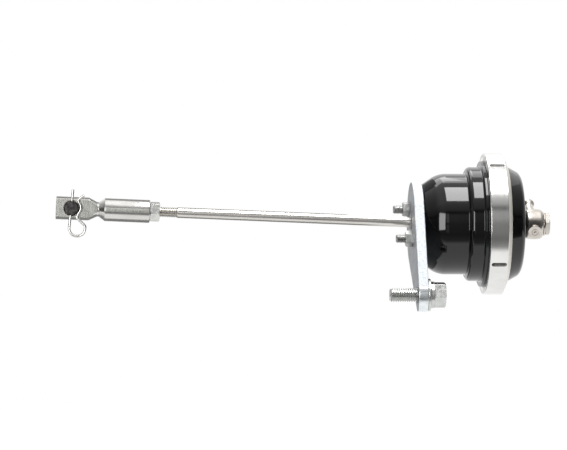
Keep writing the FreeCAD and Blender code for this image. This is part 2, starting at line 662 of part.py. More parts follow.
def make_rod_end():
    """Tapped round bar, necked down and milled flat to a tongue with an eye."""
    bore = ROD_THREAD_CORE + THREAD_GAP
    crown_end_x = TONGUE_X - TONGUE_CROWN_LENGTH
    crown_rise = BAR_RADIUS - NECK_RADIUS
    # the tongue's neck end is an arc that runs out flush with the bar's radius
    crown_radius = (TONGUE_CROWN_LENGTH ** 2 + crown_rise ** 2) / (2 * crown_rise)
    half_sweep = math.asin(TONGUE_CROWN_LENGTH / crown_radius) / 2
    crown_middle = Vector(
        crown_end_x + crown_radius * math.sin(half_sweep), 0,
        BAR_RADIUS - crown_radius * (1 - math.cos(half_sweep)),
    )
    front = rounded_edges([
        (TONGUE_X, NECK_RADIUS),
        (NECK_X, NECK_RADIUS, NECK_FILLET),
        (BAR_END_X, BAR_RADIUS, EDGE),
        (ROD_END_X - BAR_EDGE, BAR_RADIUS),
        (ROD_END_X, BAR_RADIUS - BAR_EDGE),
        (ROD_END_X, bore),
        (BORE_END_X, bore),
        (BORE_END_X - DRILL_POINT_LENGTH, 0),
        (TONGUE_END_X, 0),
        (TONGUE_END_X, BAR_RADIUS - TONGUE_EDGE),
        (TONGUE_END_X + TONGUE_EDGE, BAR_RADIUS),
        (crown_end_x, BAR_RADIUS),
    ], lambda x, radius: Vector(x, 0, radius), False)
    crown_start = Vector(crown_end_x, 0, BAR_RADIUS)
    crown = Part.Arc(crown_start, crown_middle, Vector(TONGUE_X, 0, NECK_RADIUS)).toShape()
    bar_shape = Part.Face(Part.Wire(front + [crown])).revolve(ORIGIN, X_AXIS, 360)
    half = TONGUE_THICKNESS / 2
    for side in (-1, 1):
        low_y = half if side > 0 else -half - BAR_RADIUS
        corner = Vector(TONGUE_END_X - OVERRUN, low_y, -BAR_RADIUS - OVERRUN)
        length = TONGUE_X - TONGUE_END_X + OVERRUN
        milled = Part.makeBox(length, BAR_RADIUS, 2 * (BAR_RADIUS + OVERRUN), corner)
        bar_shape = bar_shape.cut(milled)
    start = Vector(PIN_X, -BAR_RADIUS, 0)
    eye = Part.makeCylinder(PIN_RADIUS + PIN_GAP, 2 * BAR_RADIUS, start, Y_AXIS)
    return on_rod(bar_shape.cut(eye))


def turned_on_pin(corners):
    """Solid turned about the lever pin's axis from corners (y, radius) or (y, radius, rounding)."""
    edges = rounded_edges(corners, lambda y, radius: Vector(PIN_X + radius, y, 0), True)
    return Part.Face(Part.Wire(edges)).revolve(Vector(PIN_X, 0, 0), Y_AXIS, 360)


def leaned(shape):
    """Lean a piece drawn on the lever pin with the spring clip."""
    return shape.copy().rotate(Vector(PIN_X, 0, 0), Y_AXIS, CLIP_LEAN)


def make_lever_pin():
    """Headed pin of the flap's lever, cross-drilled for the clip, with a spigot behind."""
    collar_y = TONGUE_THICKNESS / 2 + PIN_SIDE_GAP
    spigot_y = collar_y + PIN_COLLAR_THICKNESS
    end_y = spigot_y + SPIGOT_LENGTH
    pin = turned_on_pin([
        (PIN_FRONT_Y, 0),
        (PIN_FRONT_Y, PIN_RADIUS - PIN_EDGE),
        (PIN_FRONT_Y + PIN_EDGE, PIN_RADIUS),
        (collar_y, PIN_RADIUS),
        (collar_y, PIN_COLLAR_RADIUS, EDGE),
        (spigot_y, PIN_COLLAR_RADIUS, EDGE),
        (spigot_y, SPIGOT_RADIUS),
        (end_y - PIN_EDGE, SPIGOT_RADIUS),
        (end_y, SPIGOT_RADIUS - PIN_EDGE),
        (end_y, 0),
    ])
    radius = CLIP_WIRE_RADIUS + CLIP_HOLE_GAP
    start = Vector(PIN_X, CLIP_Y, -PIN_RADIUS - OVERRUN)
    hole = Part.makeCylinder(radius, 2 * (PIN_RADIUS + OVERRUN), start)
    return on_rod(pin.cut(leaned(hole)))


def make_retaining_clip():
    """R-shaped spring clip: a straight leg through the pin, a loop and a leg that hugs the pin."""
    leg_top = PIN_RADIUS + CLIP_LEG_PROUD
    loop_v = -PIN_RADIUS - CLIP_LOOP_DROP
    route = [
        (0, leg_top),
        (0, loop_v, CLIP_LOOP_ROUND),
        (CLIP_LOOP_WIDTH, loop_v, CLIP_LOOP_ROUND),
        (CLIP_LOOP_WIDTH, -PIN_RADIUS - CLIP_SHOULDER_DROP, CLIP_SHOULDER_ROUND),
        (PIN_RADIUS - CLIP_WAIST, -PIN_RADIUS - CLIP_WAIST, CLIP_WAIST_ROUND),
        (PIN_RADIUS + CLIP_BULGE, CLIP_BULGE_RISE, CLIP_BULGE_ROUND),
        (PIN_RADIUS - CLIP_PINCH, PIN_RADIUS + CLIP_PINCH_RISE, CLIP_PINCH_ROUND),
        (PIN_RADIUS + CLIP_TIP, PIN_RADIUS + CLIP_TIP_RISE),
    ]
    edges = rounded_edges(route, lambda u, v: Vector(PIN_X + u, CLIP_Y, v), False)
    start = Vector(PIN_X, CLIP_Y, leg_top)
    section = Part.Wire(Part.makeCircle(CLIP_WIRE_RADIUS, start, Vector(0, 0, 1)))
    wire = Part.Wire(edges).makePipeShell([section], True, True)
    return on_rod(leaned(wire))


def make_bracket():
    """Flat teardrop plate: a disc under the canister drawn in to one lug for the bolt."""
    lug = Vector(0, 0, 0)
    disc = Vector(0, CANISTER_Y, CANISTER_Z)
    along = (disc - lug).normalize()
    across = X_AXIS.cross(along)
    sine = (PLATE_DISC_RADIUS - LUG_RADIUS) / disc.distanceToPoint(lug)
    cosine = math.sqrt(1 - sine * sine)
    left = across * cosine - along * sine
    right = across * -cosine - along * sine
    edges = [
        Part.LineSegment(lug + left * LUG_RADIUS, disc + left * PLATE_DISC_RADIUS).toShape(),
        Part.Arc(disc + left * PLATE_DISC_RADIUS, disc + along * PLATE_DISC_RADIUS,
                 disc + right * PLATE_DISC_RADIUS).toShape(),
        Part.LineSegment(disc + right * PLATE_DISC_RADIUS, lug + right * LUG_RADIUS).toShape(),
        Part.Arc(lug + right * LUG_RADIUS, lug - along * LUG_RADIUS,
                 lug + left * LUG_RADIUS).toShape(),
    ]
    plate = Part.Face(Part.Wire(edges)).extrude(Vector(PLATE_THICKNESS, 0, 0))
    end = PLATE_THICKNESS + OVERRUN
    plate = plate.cut(bar(LUG_HOLE_RADIUS, -OVERRUN, end))
    plate = plate.cut(bar(PLATE_ROD_HOLE_RADIUS, -OVERRUN, end).translated(disc))
    for y, z in stud_places():
        place = disc + Vector(0, y, z)
        plate = plate.cut(bar(STUD_RADIUS + STUD_HOLE_GAP, -OVERRUN, end).translated(place))
    return plate


def make_bracket_studs():
    """Two studs screwed into the canister's foot."""
    studs = []
    for y, z in stud_places():
        stud = turned([
            (-STUD_REACH, 0),
            (-STUD_REACH, STUD_RADIUS - STUD_TIP),
            (-STUD_REACH + STUD_TIP, STUD_RADIUS),
            (STUD_DEPTH, STUD_RADIUS),
            (STUD_DEPTH, 0),
        ])
        studs.append(on_canister(stud.translated(Vector(0, y, z))))
    return Part.makeCompound(studs)


def make_bracket_stud_nuts():
    """Two hexagon nuts that clamp the bracket on the canister's foot."""
    nuts = []
    seat_x = -PLATE_THICKNESS
    start_x = seat_x - STUD_NUT_THICKNESS
    for turn, (y, z) in zip(STUD_NUT_TURNS, stud_places()):
        nut = chamfered_hexagon(STUD_NUT_FLATS, start_x, seat_x, turn, False)
        nut = nut.cut(bar(STUD_RADIUS + THREAD_GAP / 2, start_x - OVERRUN, seat_x + OVERRUN))
        nuts.append(on_canister(nut.translated(Vector(0, y, z))))
    return Part.makeCompound(nuts)


def make_flat_washer():
    """Plain washer on the canister side of the lug."""
    start = PLATE_THICKNESS
    end = start + FLAT_WASHER_THICKNESS
    hole = BOLT_RADIUS + WASHER_HOLE_GAP
    return turned([
        (start, hole),
        (start, FLAT_WASHER_RADIUS, EDGE),
        (end, FLAT_WASHER_RADIUS, EDGE),
        (end, hole),
    ])


def make_spring_washer():
    """Split washer squeezed flat under the bolt's head, its slit cut on a slant."""
    start = PLATE_THICKNESS + FLAT_WASHER_THICKNESS
    end = start + SPRING_WASHER_THICKNESS
    hole = BOLT_RADIUS + WASHER_HOLE_GAP
    ring = turned([
        (start, hole),
        (start, SPRING_WASHER_RADIUS),
        (end, SPRING_WASHER_RADIUS),
        (end, hole),
    ])
    reach = 2 * SPRING_WASHER_THICKNESS
    corner = Vector(-reach, -SPRING_WASHER_SLIT / 2, 0)
    slit = Part.makeBox(2 * reach, SPRING_WASHER_SLIT, 2 * SPRING_WASHER_RADIUS, corner)
    slit.rotate(ORIGIN, Vector(0, 0, 1), SPRING_WASHER_SLIT_ANGLE)
    slit.translate(Vector((start + end) / 2, 0, 0))
    slit.rotate(ORIGIN, X_AXIS, SPRING_WASHER_SLIT_ANGLE)
    return ring.cut(slit)


def make_mounting_bolt():
    """Hexagon bolt through the lug, its threaded end standing free for the engine's boss."""
    head_x = PLATE_THICKNESS + FLAT_WASHER_THICKNESS + SPRING_WASHER_THICKNESS
    end_x = head_x + BOLT_HEAD_THICKNESS
    # the chamfer is on the head's outer face, so the head is drawn on -X and turned about
    head = chamfered_hexagon(BOLT_HEAD_FLATS, -end_x, -head_x, BOLT_HEAD_TURN, False)
    head.rotate(ORIGIN, Vector(0, 0, 1), 180)
    shank = turned([
        (-BOLT_REACH, 0),
        (-BOLT_REACH, BOLT_THREAD_RADIUS - BOLT_TIP),
        (-BOLT_REACH + BOLT_TIP, BOLT_THREAD_RADIUS),
        (0, BOLT_THREAD_RADIUS),
        (0, BOLT_SHANK_RADIUS),
        (head_x, BOLT_SHANK_RADIUS),
        (head_x, 0),
    ])
    return head.fuse(shank)


def crush_washer(start, thickness):
    """Soft ring under the union or its bolt."""
    hole = UNION_BOLT_RADIUS + UNION_GAP
    end = start + thickness
    return on_canister(turned([
        (start, hole),
        (start, UNION_WASHER_RADIUS, EDGE),
        (end, UNION_WASHER_RADIUS, EDGE),
        (end, hole),
    ]))


def make_banjo_bolt():
    """Hollow bolt, cross-drilled where the union's gallery surrounds it."""
    end_x = CAP_INNER_BOSS_X + UNION_BOLT_END_GAP
    head_end_x = UNION_HEAD_X + UNION_HEAD_THICKNESS
    head = chamfered_hexagon(UNION_HEAD_FLATS, -head_end_x, -UNION_HEAD_X, UNION_HEAD_TURN, False)
    head.rotate(ORIGIN, Vector(0, 0, 1), 180)
    bolt = head.fuse(bar(UNION_BOLT_RADIUS, end_x, UNION_HEAD_X))
    bolt = bolt.cut(bar(UNION_BOLT_BORE, end_x - OVERRUN, UNION_MIDDLE_X + UNION_CROSS_BORE + OVERRUN))
    across = 2 * (UNION_BOLT_RADIUS + OVERRUN)
    for direction in (Y_AXIS, Vector(0, 0, 1)):
        start = Vector(UNION_MIDDLE_X, 0, 0) - direction * (across / 2)
        bolt = bolt.cut(Part.makeCylinder(UNION_CROSS_BORE, across, start, direction))
    return on_canister(bolt)


def turned_on_port(corners):
    """Solid turned about the union's port axis, drawn from corners (reach, radius)."""
    edges = rounded_edges(corners, lambda reach, radius: Vector(UNION_MIDDLE_X + radius, reach, 0), True)
    middle = Vector(UNION_MIDDLE_X, 0, 0)
    shape = Part.Face(Part.Wire(edges)).revolve(middle, Y_AXIS, 360)
    return shape.rotate(middle, X_AXIS, UNION_ANGLE)


def make_banjo_fitting():
    """Barrel-shaped union with a gallery round its bolt, a barbed nipple and a turned boss."""
    barrel = turned([
        (UNION_START_X, 0),
        (UNION_START_X, UNION_RADIUS, UNION_ROUND),
        (UNION_END_X, UNION_RADIUS, UNION_ROUND),
        (UNION_END_X, 0),
    ])
    port = turned_on_port([
        (-FRONT_BOSS_REACH, 0),
        (-FRONT_BOSS_REACH, FRONT_BOSS_RADIUS, EDGE),
        (0, FRONT_BOSS_RADIUS),
        (0, NIPPLE_ROOT_RADIUS),
        (NIPPLE_ROOT_REACH, NIPPLE_ROOT_RADIUS, EDGE),
        (NIPPLE_TUBE_START, NIPPLE_TUBE_RADIUS, EDGE),
        (NIPPLE_TUBE_END, NIPPLE_TUBE_RADIUS, EDGE),
        (BARB_LAND_START, BARB_RADIUS),
        (BARB_LAND_END, BARB_RADIUS),
        (NIPPLE_END, BARB_NOSE_RADIUS),
        (NIPPLE_END, 0),
    ])
    union = barrel.fuse(port)
    bore = UNION_BOLT_RADIUS + UNION_GAP
    union = union.cut(bar(bore, UNION_START_X - OVERRUN, UNION_END_X + OVERRUN))
    gallery_start = UNION_MIDDLE_X - UNION_GALLERY_LENGTH / 2
    union = union.cut(bar(UNION_GALLERY_RADIUS, gallery_start, gallery_start + UNION_GALLERY_LENGTH))
    passage = turned_on_port([
        (0, 0), (0, NIPPLE_BORE), (NIPPLE_END + OVERRUN, NIPPLE_BORE), (NIPPLE_END + OVERRUN, 0),
    ])
    return on_canister(union.cut(passage))


PIECES = {
    "canister_body": make_canister_body(),
    "locking_collar": make_locking_collar(),
    "end_cap": make_end_cap(),
    "diaphragm": make_diaphragm(),
    "piston": make_piston(),
    "diaphragm_retainer": make_diaphragm_retainer(),
    "ball_plug": make_ball_plug(),
    "outer_spring": make_spring(OUTER_SPRING_RADIUS, OUTER_SPRING_WIRE, OUTER_SPRING_TURNS),
    "inner_spring": make_spring(INNER_SPRING_RADIUS, INNER_SPRING_WIRE, INNER_SPRING_TURNS),
    "rod": make_rod(),
    "jam_nut": make_jam_nut(),
    "rod_end": make_rod_end(),
    "lever_pin": make_lever_pin(),
    "retaining_clip": make_retaining_clip(),
    "bracket": make_bracket(),
    "bracket_studs": make_bracket_studs(),
    "bracket_stud_nuts": make_bracket_stud_nuts(),
    "flat_washer": make_flat_washer(),
    "spring_washer": make_spring_washer(),
    "mounting_bolt": make_mounting_bolt(),
    "banjo_inner_washer": crush_washer(CAP_BOSS_X, UNION_INNER_WASHER),
    "banjo_fitting": make_banjo_fitting(),
    "banjo_outer_washer": crush_washer(UNION_END_X, UNION_OUTER_WASHER),
    "banjo_bolt": make_banjo_bolt(),
}

os.makedirs("parts", exist_ok=True)
for name, shape in PIECES.items():
    shape.exportStep("parts/" + name + ".step")
    print(name, len(shape.Solids), round(shape.Volume, 1), shape.isValid())
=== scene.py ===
import json
import math

import bmesh
import bpy
from mathutils import Matrix, Vector


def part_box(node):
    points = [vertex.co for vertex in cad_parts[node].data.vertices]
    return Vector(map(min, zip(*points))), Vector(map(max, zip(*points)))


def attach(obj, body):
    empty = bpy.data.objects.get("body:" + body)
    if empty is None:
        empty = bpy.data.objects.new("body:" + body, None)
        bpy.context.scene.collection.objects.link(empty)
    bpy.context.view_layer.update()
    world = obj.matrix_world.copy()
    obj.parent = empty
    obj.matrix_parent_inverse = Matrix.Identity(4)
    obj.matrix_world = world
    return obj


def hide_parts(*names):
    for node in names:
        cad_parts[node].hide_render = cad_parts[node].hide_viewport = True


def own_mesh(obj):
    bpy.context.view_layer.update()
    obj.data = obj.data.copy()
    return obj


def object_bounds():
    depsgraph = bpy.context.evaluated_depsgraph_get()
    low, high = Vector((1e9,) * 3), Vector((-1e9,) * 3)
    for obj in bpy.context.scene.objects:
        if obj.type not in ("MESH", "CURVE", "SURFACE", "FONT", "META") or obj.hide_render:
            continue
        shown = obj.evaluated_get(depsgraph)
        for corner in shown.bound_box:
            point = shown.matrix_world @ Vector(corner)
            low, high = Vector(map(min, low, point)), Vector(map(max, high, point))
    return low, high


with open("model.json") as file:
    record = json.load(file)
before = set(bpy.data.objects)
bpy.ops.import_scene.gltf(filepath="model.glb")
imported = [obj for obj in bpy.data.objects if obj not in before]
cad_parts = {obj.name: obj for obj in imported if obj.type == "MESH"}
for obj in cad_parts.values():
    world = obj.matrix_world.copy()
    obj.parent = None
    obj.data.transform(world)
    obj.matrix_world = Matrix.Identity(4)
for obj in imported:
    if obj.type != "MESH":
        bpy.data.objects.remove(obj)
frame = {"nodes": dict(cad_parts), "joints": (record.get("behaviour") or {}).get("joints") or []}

cad_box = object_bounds()
mm = 0.001

# The camera stands level with the actuator, two metres away and a little to the left,
# as the photograph was taken. Its long lens keeps the rod and the canister undistorted.
camera_data = bpy.data.cameras.new("camera")
camera_data.lens = 225
camera_data.sensor_width = 36
camera_data.clip_end = 50
camera = bpy.data.objects.new("camera", camera_data)
camera.location = (-194.2 * mm, -1957.3 * mm, 38.8 * mm)
camera.rotation_euler = (math.radians(90), 0, math.radians(-3.5))
bpy.context.scene.collection.objects.link(camera)
bpy.context.scene.camera = camera

# A white product studio. The part hangs over a lit white table that ends just in front of it.
# Soft boxes light it from above, from the left front and from behind, and two dim walls stand
# behind the camera. Small cards near the part draw dark edges or take the glare off.
TABLE_DROP = 450 * mm
TABLE_REACH = 4.0
TABLE_FRONT_Y = -0.482
TABLE_Z = cad_box[0][2] - TABLE_DROP
CANISTER = (0.03, 0.038, 0.04)


def card(name, low, high, shade, glow=0, seen=False):
    """Level or upright sheet, grey or glowing white, that may show in reflections alone."""
    form = bmesh.new()
    corners = [low, (high[0], low[1], low[2]), high, (low[0], high[1], high[2])]
    form.faces.new([form.verts.new(corner) for corner in corners])
    sheet_mesh = bpy.data.meshes.new(name)
    form.to_mesh(sheet_mesh)
    form.free()
    paint = bpy.data.materials.new(name)
    paint.use_nodes = True
    shader = paint.node_tree.nodes["Principled BSDF"]
    shader.inputs["Base Color"].default_value = (shade, shade, shade, 1)
    shader.inputs["Roughness"].default_value = 0.9
    shader.inputs["Emission Color"].default_value = (1, 1, 1, 1)
    shader.inputs["Emission Strength"].default_value = glow
    sheet_mesh.materials.append(paint)
    sheet = bpy.data.objects.new(name, sheet_mesh)
    sheet.visible_camera = seen
    sheet.visible_shadow = seen
    bpy.context.scene.collection.objects.link(sheet)


table_low = (-TABLE_REACH, TABLE_FRONT_Y, TABLE_Z)
table_high = (TABLE_REACH, TABLE_FRONT_Y + 2 * TABLE_REACH, TABLE_Z)
card("table", table_low, table_high, 0.12, glow=0.95, seen=True)


def soft_box(name, centre, target, width, height, power):
    """Rectangular lamp that faces a point."""
    lamp = bpy.data.lights.new(name, "AREA")
    lamp.shape = "RECTANGLE"
    lamp.size = width
    lamp.size_y = height
    lamp.energy = power
    holder = bpy.data.objects.new(name, lamp)
    facing = (Vector(centre) - Vector(target)).to_track_quat("Z", "Y")
    holder.matrix_world = Matrix.Translation(centre) @ facing.to_matrix().to_4x4()
    bpy.context.scene.collection.objects.link(holder)


soft_box("overhead_box", (0.108, -0.282, 0.95), (0.108, -0.282, 0), 0.425, 0.70, 9.8)
soft_box("left_box", (-0.72, -1.292, 0.19), CANISTER, 0.65, 1.0, 14)
soft_box("rear_strip", (0.03, 0.384, 0.647), CANISTER, 0.20, 0.31, 0.43)
soft_box("foot_strip", (-0.03, 0.16, 0.255), (0.005, 0.02, 0.06), 0.16, 0.11, 0.12)
soft_box("camera_wall_high", (-0.125, -2.192, 0.59), (-0.125, 0, 0.59), 0.65, 0.87, 1.07)
soft_box("camera_wall_low", (-0.125, -2.192, -0.375), (-0.125, 0, -0.375), 0.65, 0.75, 0.46)
card("lower_flag", (-0.30, 0.045, -0.05), (-0.015, 0.25, -0.05), 0.20)
card("upper_flag", (-0.22, 0.07, 0.14), (-0.02, 0.25, 0.14), 0.45)
card("bar_diffuser", (-0.184, -0.012, 0.10), (-0.146, 0.050, 0.10), 0.20, glow=1.0)
card("union_diffuser", (0.062, -0.020, 0.105), (0.0985, 0.070, 0.105), 0.16, glow=1.3)
card("union_flag", (0.058, -0.010, 0.020), (0.094, -0.010, 0.066), 0.04)

# The room is bright behind the part and dim towards the camera, which darkens the fronts of
# the round pieces. Its brightness goes by the angle about the part's long axis: 0 is the
# camera's side, 90 straight up, 180 behind. The camera itself sees plain white.
ROOM = [
    (-180, 0.8), (-150, 0.6), (-100, 1.0), (-45, 1.0), (-38, 0.30), (-25, 0.16), (-9, 0.19),
    (0, 0.21), (9, 0.27), (20, 0.33), (26, 0.06), (32, 0.42), (45, 0.64), (55, 0.9), (90, 1.0),
    (130, 1.1), (150, 1.4), (165, 1.1), (180, 0.8),
]
SIDE_START = 0.45
SIDE_END = 0.85
SIDE_BRIGHTNESS = 0.35
world = bpy.data.worlds.new("studio")
world.use_nodes = True
bpy.context.scene.world = world
room = world.node_tree
room.nodes.clear()
room_direction = room.nodes.new("ShaderNodeTexCoord")
room_parts = room.nodes.new("ShaderNodeSeparateXYZ")
room.links.new(room_direction.outputs["Generated"], room_parts.inputs[0])
towards_camera = room.nodes.new("ShaderNodeMath")
towards_camera.operation = "MULTIPLY"
towards_camera.inputs[1].default_value = -1
room.links.new(room_parts.outputs["Y"], towards_camera.inputs[0])
room_angle = room.nodes.new("ShaderNodeMath")
room_angle.operation = "ARCTAN2"
room.links.new(room_parts.outputs["Z"], room_angle.inputs[0])
room.links.new(towards_camera.outputs[0], room_angle.inputs[1])
room_share = room.nodes.new("ShaderNodeMapRange")
room_share.inputs["From Min"].default_value = -math.pi
room_share.inputs["From Max"].default_value = math.pi
room.links.new(room_angle.outputs[0], room_share.inputs["Value"])
room_ramp = room.nodes.new("ShaderNodeValToRGB")
for angle, level in ROOM[1:-1]:
    room_ramp.color_ramp.elements.new((angle + 180) / 360)
for stop, (angle, level) in zip(room_ramp.color_ramp.elements, ROOM):
    stop.position = (angle + 180) / 360
    stop.color = (level, level, level, 1)
room.links.new(room_share.outputs["Result"], room_ramp.inputs["Fac"])
side_way = room.nodes.new("ShaderNodeMath")
side_way.operation = "ABSOLUTE"
room.links.new(room_parts.outputs["X"], side_way.inputs[0])
side_dimming = room.nodes.new("ShaderNodeMapRange")
side_dimming.inputs["From Min"].default_value = SIDE_START
side_dimming.inputs["From Max"].default_value = SIDE_END
side_dimming.inputs["To Min"].default_value = 1.0
side_dimming.inputs["To Max"].default_value = SIDE_BRIGHTNESS
room.links.new(side_way.outputs[0], side_dimming.inputs["Value"])
room_light = room.nodes.new("ShaderNodeBackground")
room.links.new(room_ramp.outputs["Color"], room_light.inputs["Color"])
room.links.new(side_dimming.outputs["Result"], room_light.inputs["Strength"])
plain_white = room.nodes.new("ShaderNodeBackground")
plain_white.inputs["Color"].default_value = (1, 1, 1, 1)
ray_kind = room.nodes.new("ShaderNodeLightPath")
room_choice = room.nodes.new("ShaderNodeMixShader")
room.links.new(ray_kind.outputs["Is Camera Ray"], room_choice.inputs["Fac"])
room.links.new(room_light.outputs[0], room_choice.inputs[1])
room.links.new(plain_white.outputs[0], room_choice.inputs[2])
room_output = room.nodes.new("ShaderNodeOutputWorld")
room.links.new(room_choice.outputs[0], room_output.inputs["Surface"])
bpy.context.scene.view_settings.view_transform = "Standard"

# The canister body is one turned aluminium cup with a sloped foot, a shoulder and the flange
# that the collar screws on. It is black anodised, glossy, with the faintest orange peel.
body_low, body_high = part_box("canister_body")
FOOT_X = body_low.x
canister_place = Matrix.Translation((
    FOOT_X, (body_low.y + body_high.y) / 2, (body_low.z + body_high.z) / 2,
))
FLANGE_RADIUS = (body_high.y - body_low.y) / 2 / mm
FLANGE_FACE_X = (body_high.x - body_low.x) / mm
FOOT_RADIUS = 22.0
FOOT_SLOPE_END_X = 9.3
FOOT_BLEND = 13
BODY_RADIUS = 28.5
SHOULDER_X = 25.2
SHOULDER_RADIUS = 32.3
FLANGE_X = 33.4
BEAD_GROOVE_OUTER = 34.1
BEAD_GROOVE_INNER = 32.1
BEAD_GROOVE_DEPTH = 1.0
WIDE_BORE = 29.3
WIDE_BORE_END_X = 28.6
NARROW_BORE = 25.7
NARROW_BORE_X = 25.6
BASE_WALL = 5.5
ROD_HOLE = 5.5
SHARP_ANGLE = math.radians(32)
NOISE_BAND = (0.3, 0.7)


def rounded_wire(corners, closed, segments):
    """Wire in the XZ plane through corners (x, z) or (x, z, rounding) in millimetres."""
    form = bmesh.new()
    points = [Vector((corner[0] * mm, 0, corner[1] * mm)) for corner in corners]
    verts = [form.verts.new(point) for point in points]
    for first, second in zip(verts, verts[1:] + verts[:1] if closed else verts[1:]):
        form.edges.new((first, second))
    for index, corner in enumerate(corners):
        if len(corner) == 3:
            back = points[index - 1] - points[index]
            ahead = points[(index + 1) % len(points)] - points[index]
            reach = corner[2] * mm * math.tan((math.pi - back.angle(ahead)) / 2)
            bmesh.ops.bevel(
                form, geom=[verts[index]], offset=reach, offset_type="OFFSET",
                segments=segments, profile=0.5, affect="VERTICES", material=-1,
            )
    return form


def turned(corners, steps, closed=True, segments=6):
    """Form turned about X from corners (x, radius) or (x, radius, rounding)."""
    form = rounded_wire(corners, closed, segments)
    bmesh.ops.spin(
        form, geom=form.verts[:] + form.edges[:], axis=(1, 0, 0), cent=(0, 0, 0),
        dvec=(0, 0, 0), angle=2 * math.pi, steps=steps, use_merge=True, use_duplicate=False,
    )
    bmesh.ops.remove_doubles(form, verts=form.verts, dist=0.0005 * mm)
    bmesh.ops.recalc_face_normals(form, faces=form.faces)
    return form


def placed_piece(name, form, place, materials):
    """Carry a form to its place, smooth it up to its sharp edges and give it its materials."""
    bmesh.ops.transform(form, matrix=place, verts=form.verts)
    mesh = bpy.data.meshes.new(name)
    form.to_mesh(mesh)
    form.free()
    mesh.shade_smooth()
    mesh.set_sharp_from_angle(angle=SHARP_ANGLE)
    for material in materials:
        mesh.materials.append(material)
    piece = bpy.data.objects.new(name, mesh)
    bpy.context.scene.collection.objects.link(piece)
    flats = piece.modifiers.new("flat_faces_stay_flat", "WEIGHTED_NORMAL")
    flats.keep_sharp = True
    return piece


def finish(name, shade, roughness, metallic):
    """Material with a plain shader, to which shades, sheen and relief are added."""
    material = bpy.data.materials.new(name)
    material.use_nodes = True
    shader = material.node_tree.nodes["Principled BSDF"]
    shader.inputs["Base Color"].default_value = (*shade, 1)
    shader.inputs["Roughness"].default_value = roughness
    shader.inputs["Metallic"].default_value = metallic
    return material


def marks(material, stretch, detail=2.0, roughness=0.5):
    """Noise on the piece's own coordinates, stretched alike all ways or by axis."""
    tree = material.node_tree
    place = tree.nodes.new("ShaderNodeTexCoord")
    mapping = tree.nodes.new("ShaderNodeMapping")
    by_axis = stretch if isinstance(stretch, tuple) else (stretch, stretch, stretch)
    mapping.inputs["Scale"].default_value = by_axis
    noise = tree.nodes.new("ShaderNodeTexNoise")
    noise.inputs["Scale"].default_value = 1.0
    noise.inputs["Detail"].default_value = detail
    noise.inputs["Roughness"].default_value = roughness
    tree.links.new(place.outputs["Object"], mapping.inputs["Vector"])
    tree.links.new(mapping.outputs["Vector"], noise.inputs["Vector"])
    return noise.outputs["Fac"]


def shades(material, stretch, low, high, reach=NOISE_BAND, middle=None, **grain):
    """Let a noise pick the base colour between two shades, or over a middle one."""
    tree = material.node_tree
    ramp = tree.nodes.new("ShaderNodeValToRGB")
    for stop, position, shade in zip(ramp.color_ramp.elements, reach, (low, high)):
        stop.position = position
        stop.color = (*shade, 1)
    if middle:
        position, shade = middle
        ramp.color_ramp.elements.new(position).color = (*shade, 1)
    tree.links.new(marks(material, stretch, **grain), ramp.inputs["Fac"])
    tree.links.new(ramp.outputs["Color"], tree.nodes["Principled BSDF"].inputs["Base Color"])


def sheen(material, stretch, low, high, **grain):
    """Let a noise pick the roughness between two values."""
    tree = material.node_tree
    spread = tree.nodes.new("ShaderNodeMapRange")
    spread.inputs["From Min"].default_value = NOISE_BAND[0]
    spread.inputs["From Max"].default_value = NOISE_BAND[1]
    spread.inputs["To Min"].default_value = low
    spread.inputs["To Max"].default_value = high
    tree.links.new(marks(material, stretch, **grain), spread.inputs["Value"])
    tree.links.new(spread.outputs["Result"], tree.nodes["Principled BSDF"].inputs["Roughness"])


def relief(material, stretch, depth, strength, **grain):
    """Bump from a noise, its depth in millimetres."""
    tree = material.node_tree
    bump = tree.nodes.new("ShaderNodeBump")
    bump.inputs["Strength"].default_value = strength
    bump.inputs["Distance"].default_value = depth * mm
    tree.links.new(marks(material, stretch, **grain), bump.inputs["Height"])
    tree.links.new(bump.outputs["Normal"], tree.nodes["Principled BSDF"].inputs["Normal"])


black_gloss = finish("black_gloss_anodise", (0.005, 0.005, 0.0055), 0.10, 0.0)
shades(
    black_gloss, 90, (0.0008, 0.0008, 0.001), (0.002, 0.002, 0.0023), reach=(0.35, 0.7),
)
sheen(black_gloss, (60, 140, 140), 0.05, 0.10)
relief(black_gloss, 700, 0.004, 0.5, detail=1.0)

canister_shell = placed_piece("canister_shell", turned([
    (0, ROD_HOLE, 0.3),
    (0, FOOT_RADIUS, 0.3),
    (FOOT_SLOPE_END_X, BODY_RADIUS, FOOT_BLEND),
    (SHOULDER_X, BODY_RADIUS, 0.8),
    (SHOULDER_X, SHOULDER_RADIUS, 2.6),
    (FLANGE_X, SHOULDER_RADIUS, 0.8),
    (FLANGE_X, FLANGE_RADIUS, 0.4),
    (FLANGE_FACE_X, FLANGE_RADIUS),
    (FLANGE_FACE_X, BEAD_GROOVE_OUTER),
    (FLANGE_FACE_X - BEAD_GROOVE_DEPTH, BEAD_GROOVE_OUTER, 0.4),
    (FLANGE_FACE_X - BEAD_GROOVE_DEPTH, BEAD_GROOVE_INNER, 0.4),
    (FLANGE_FACE_X, BEAD_GROOVE_INNER),
    (FLANGE_FACE_X, WIDE_BORE),
    (WIDE_BORE_END_X, WIDE_BORE),
    (NARROW_BORE_X, NARROW_BORE),
    (BASE_WALL, NARROW_BORE, 4.0),
    (BASE_WALL, ROD_HOLE, 0.3),
], 160, segments=8), canister_place, [black_gloss])
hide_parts("canister_body")
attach(canister_shell, "canister")

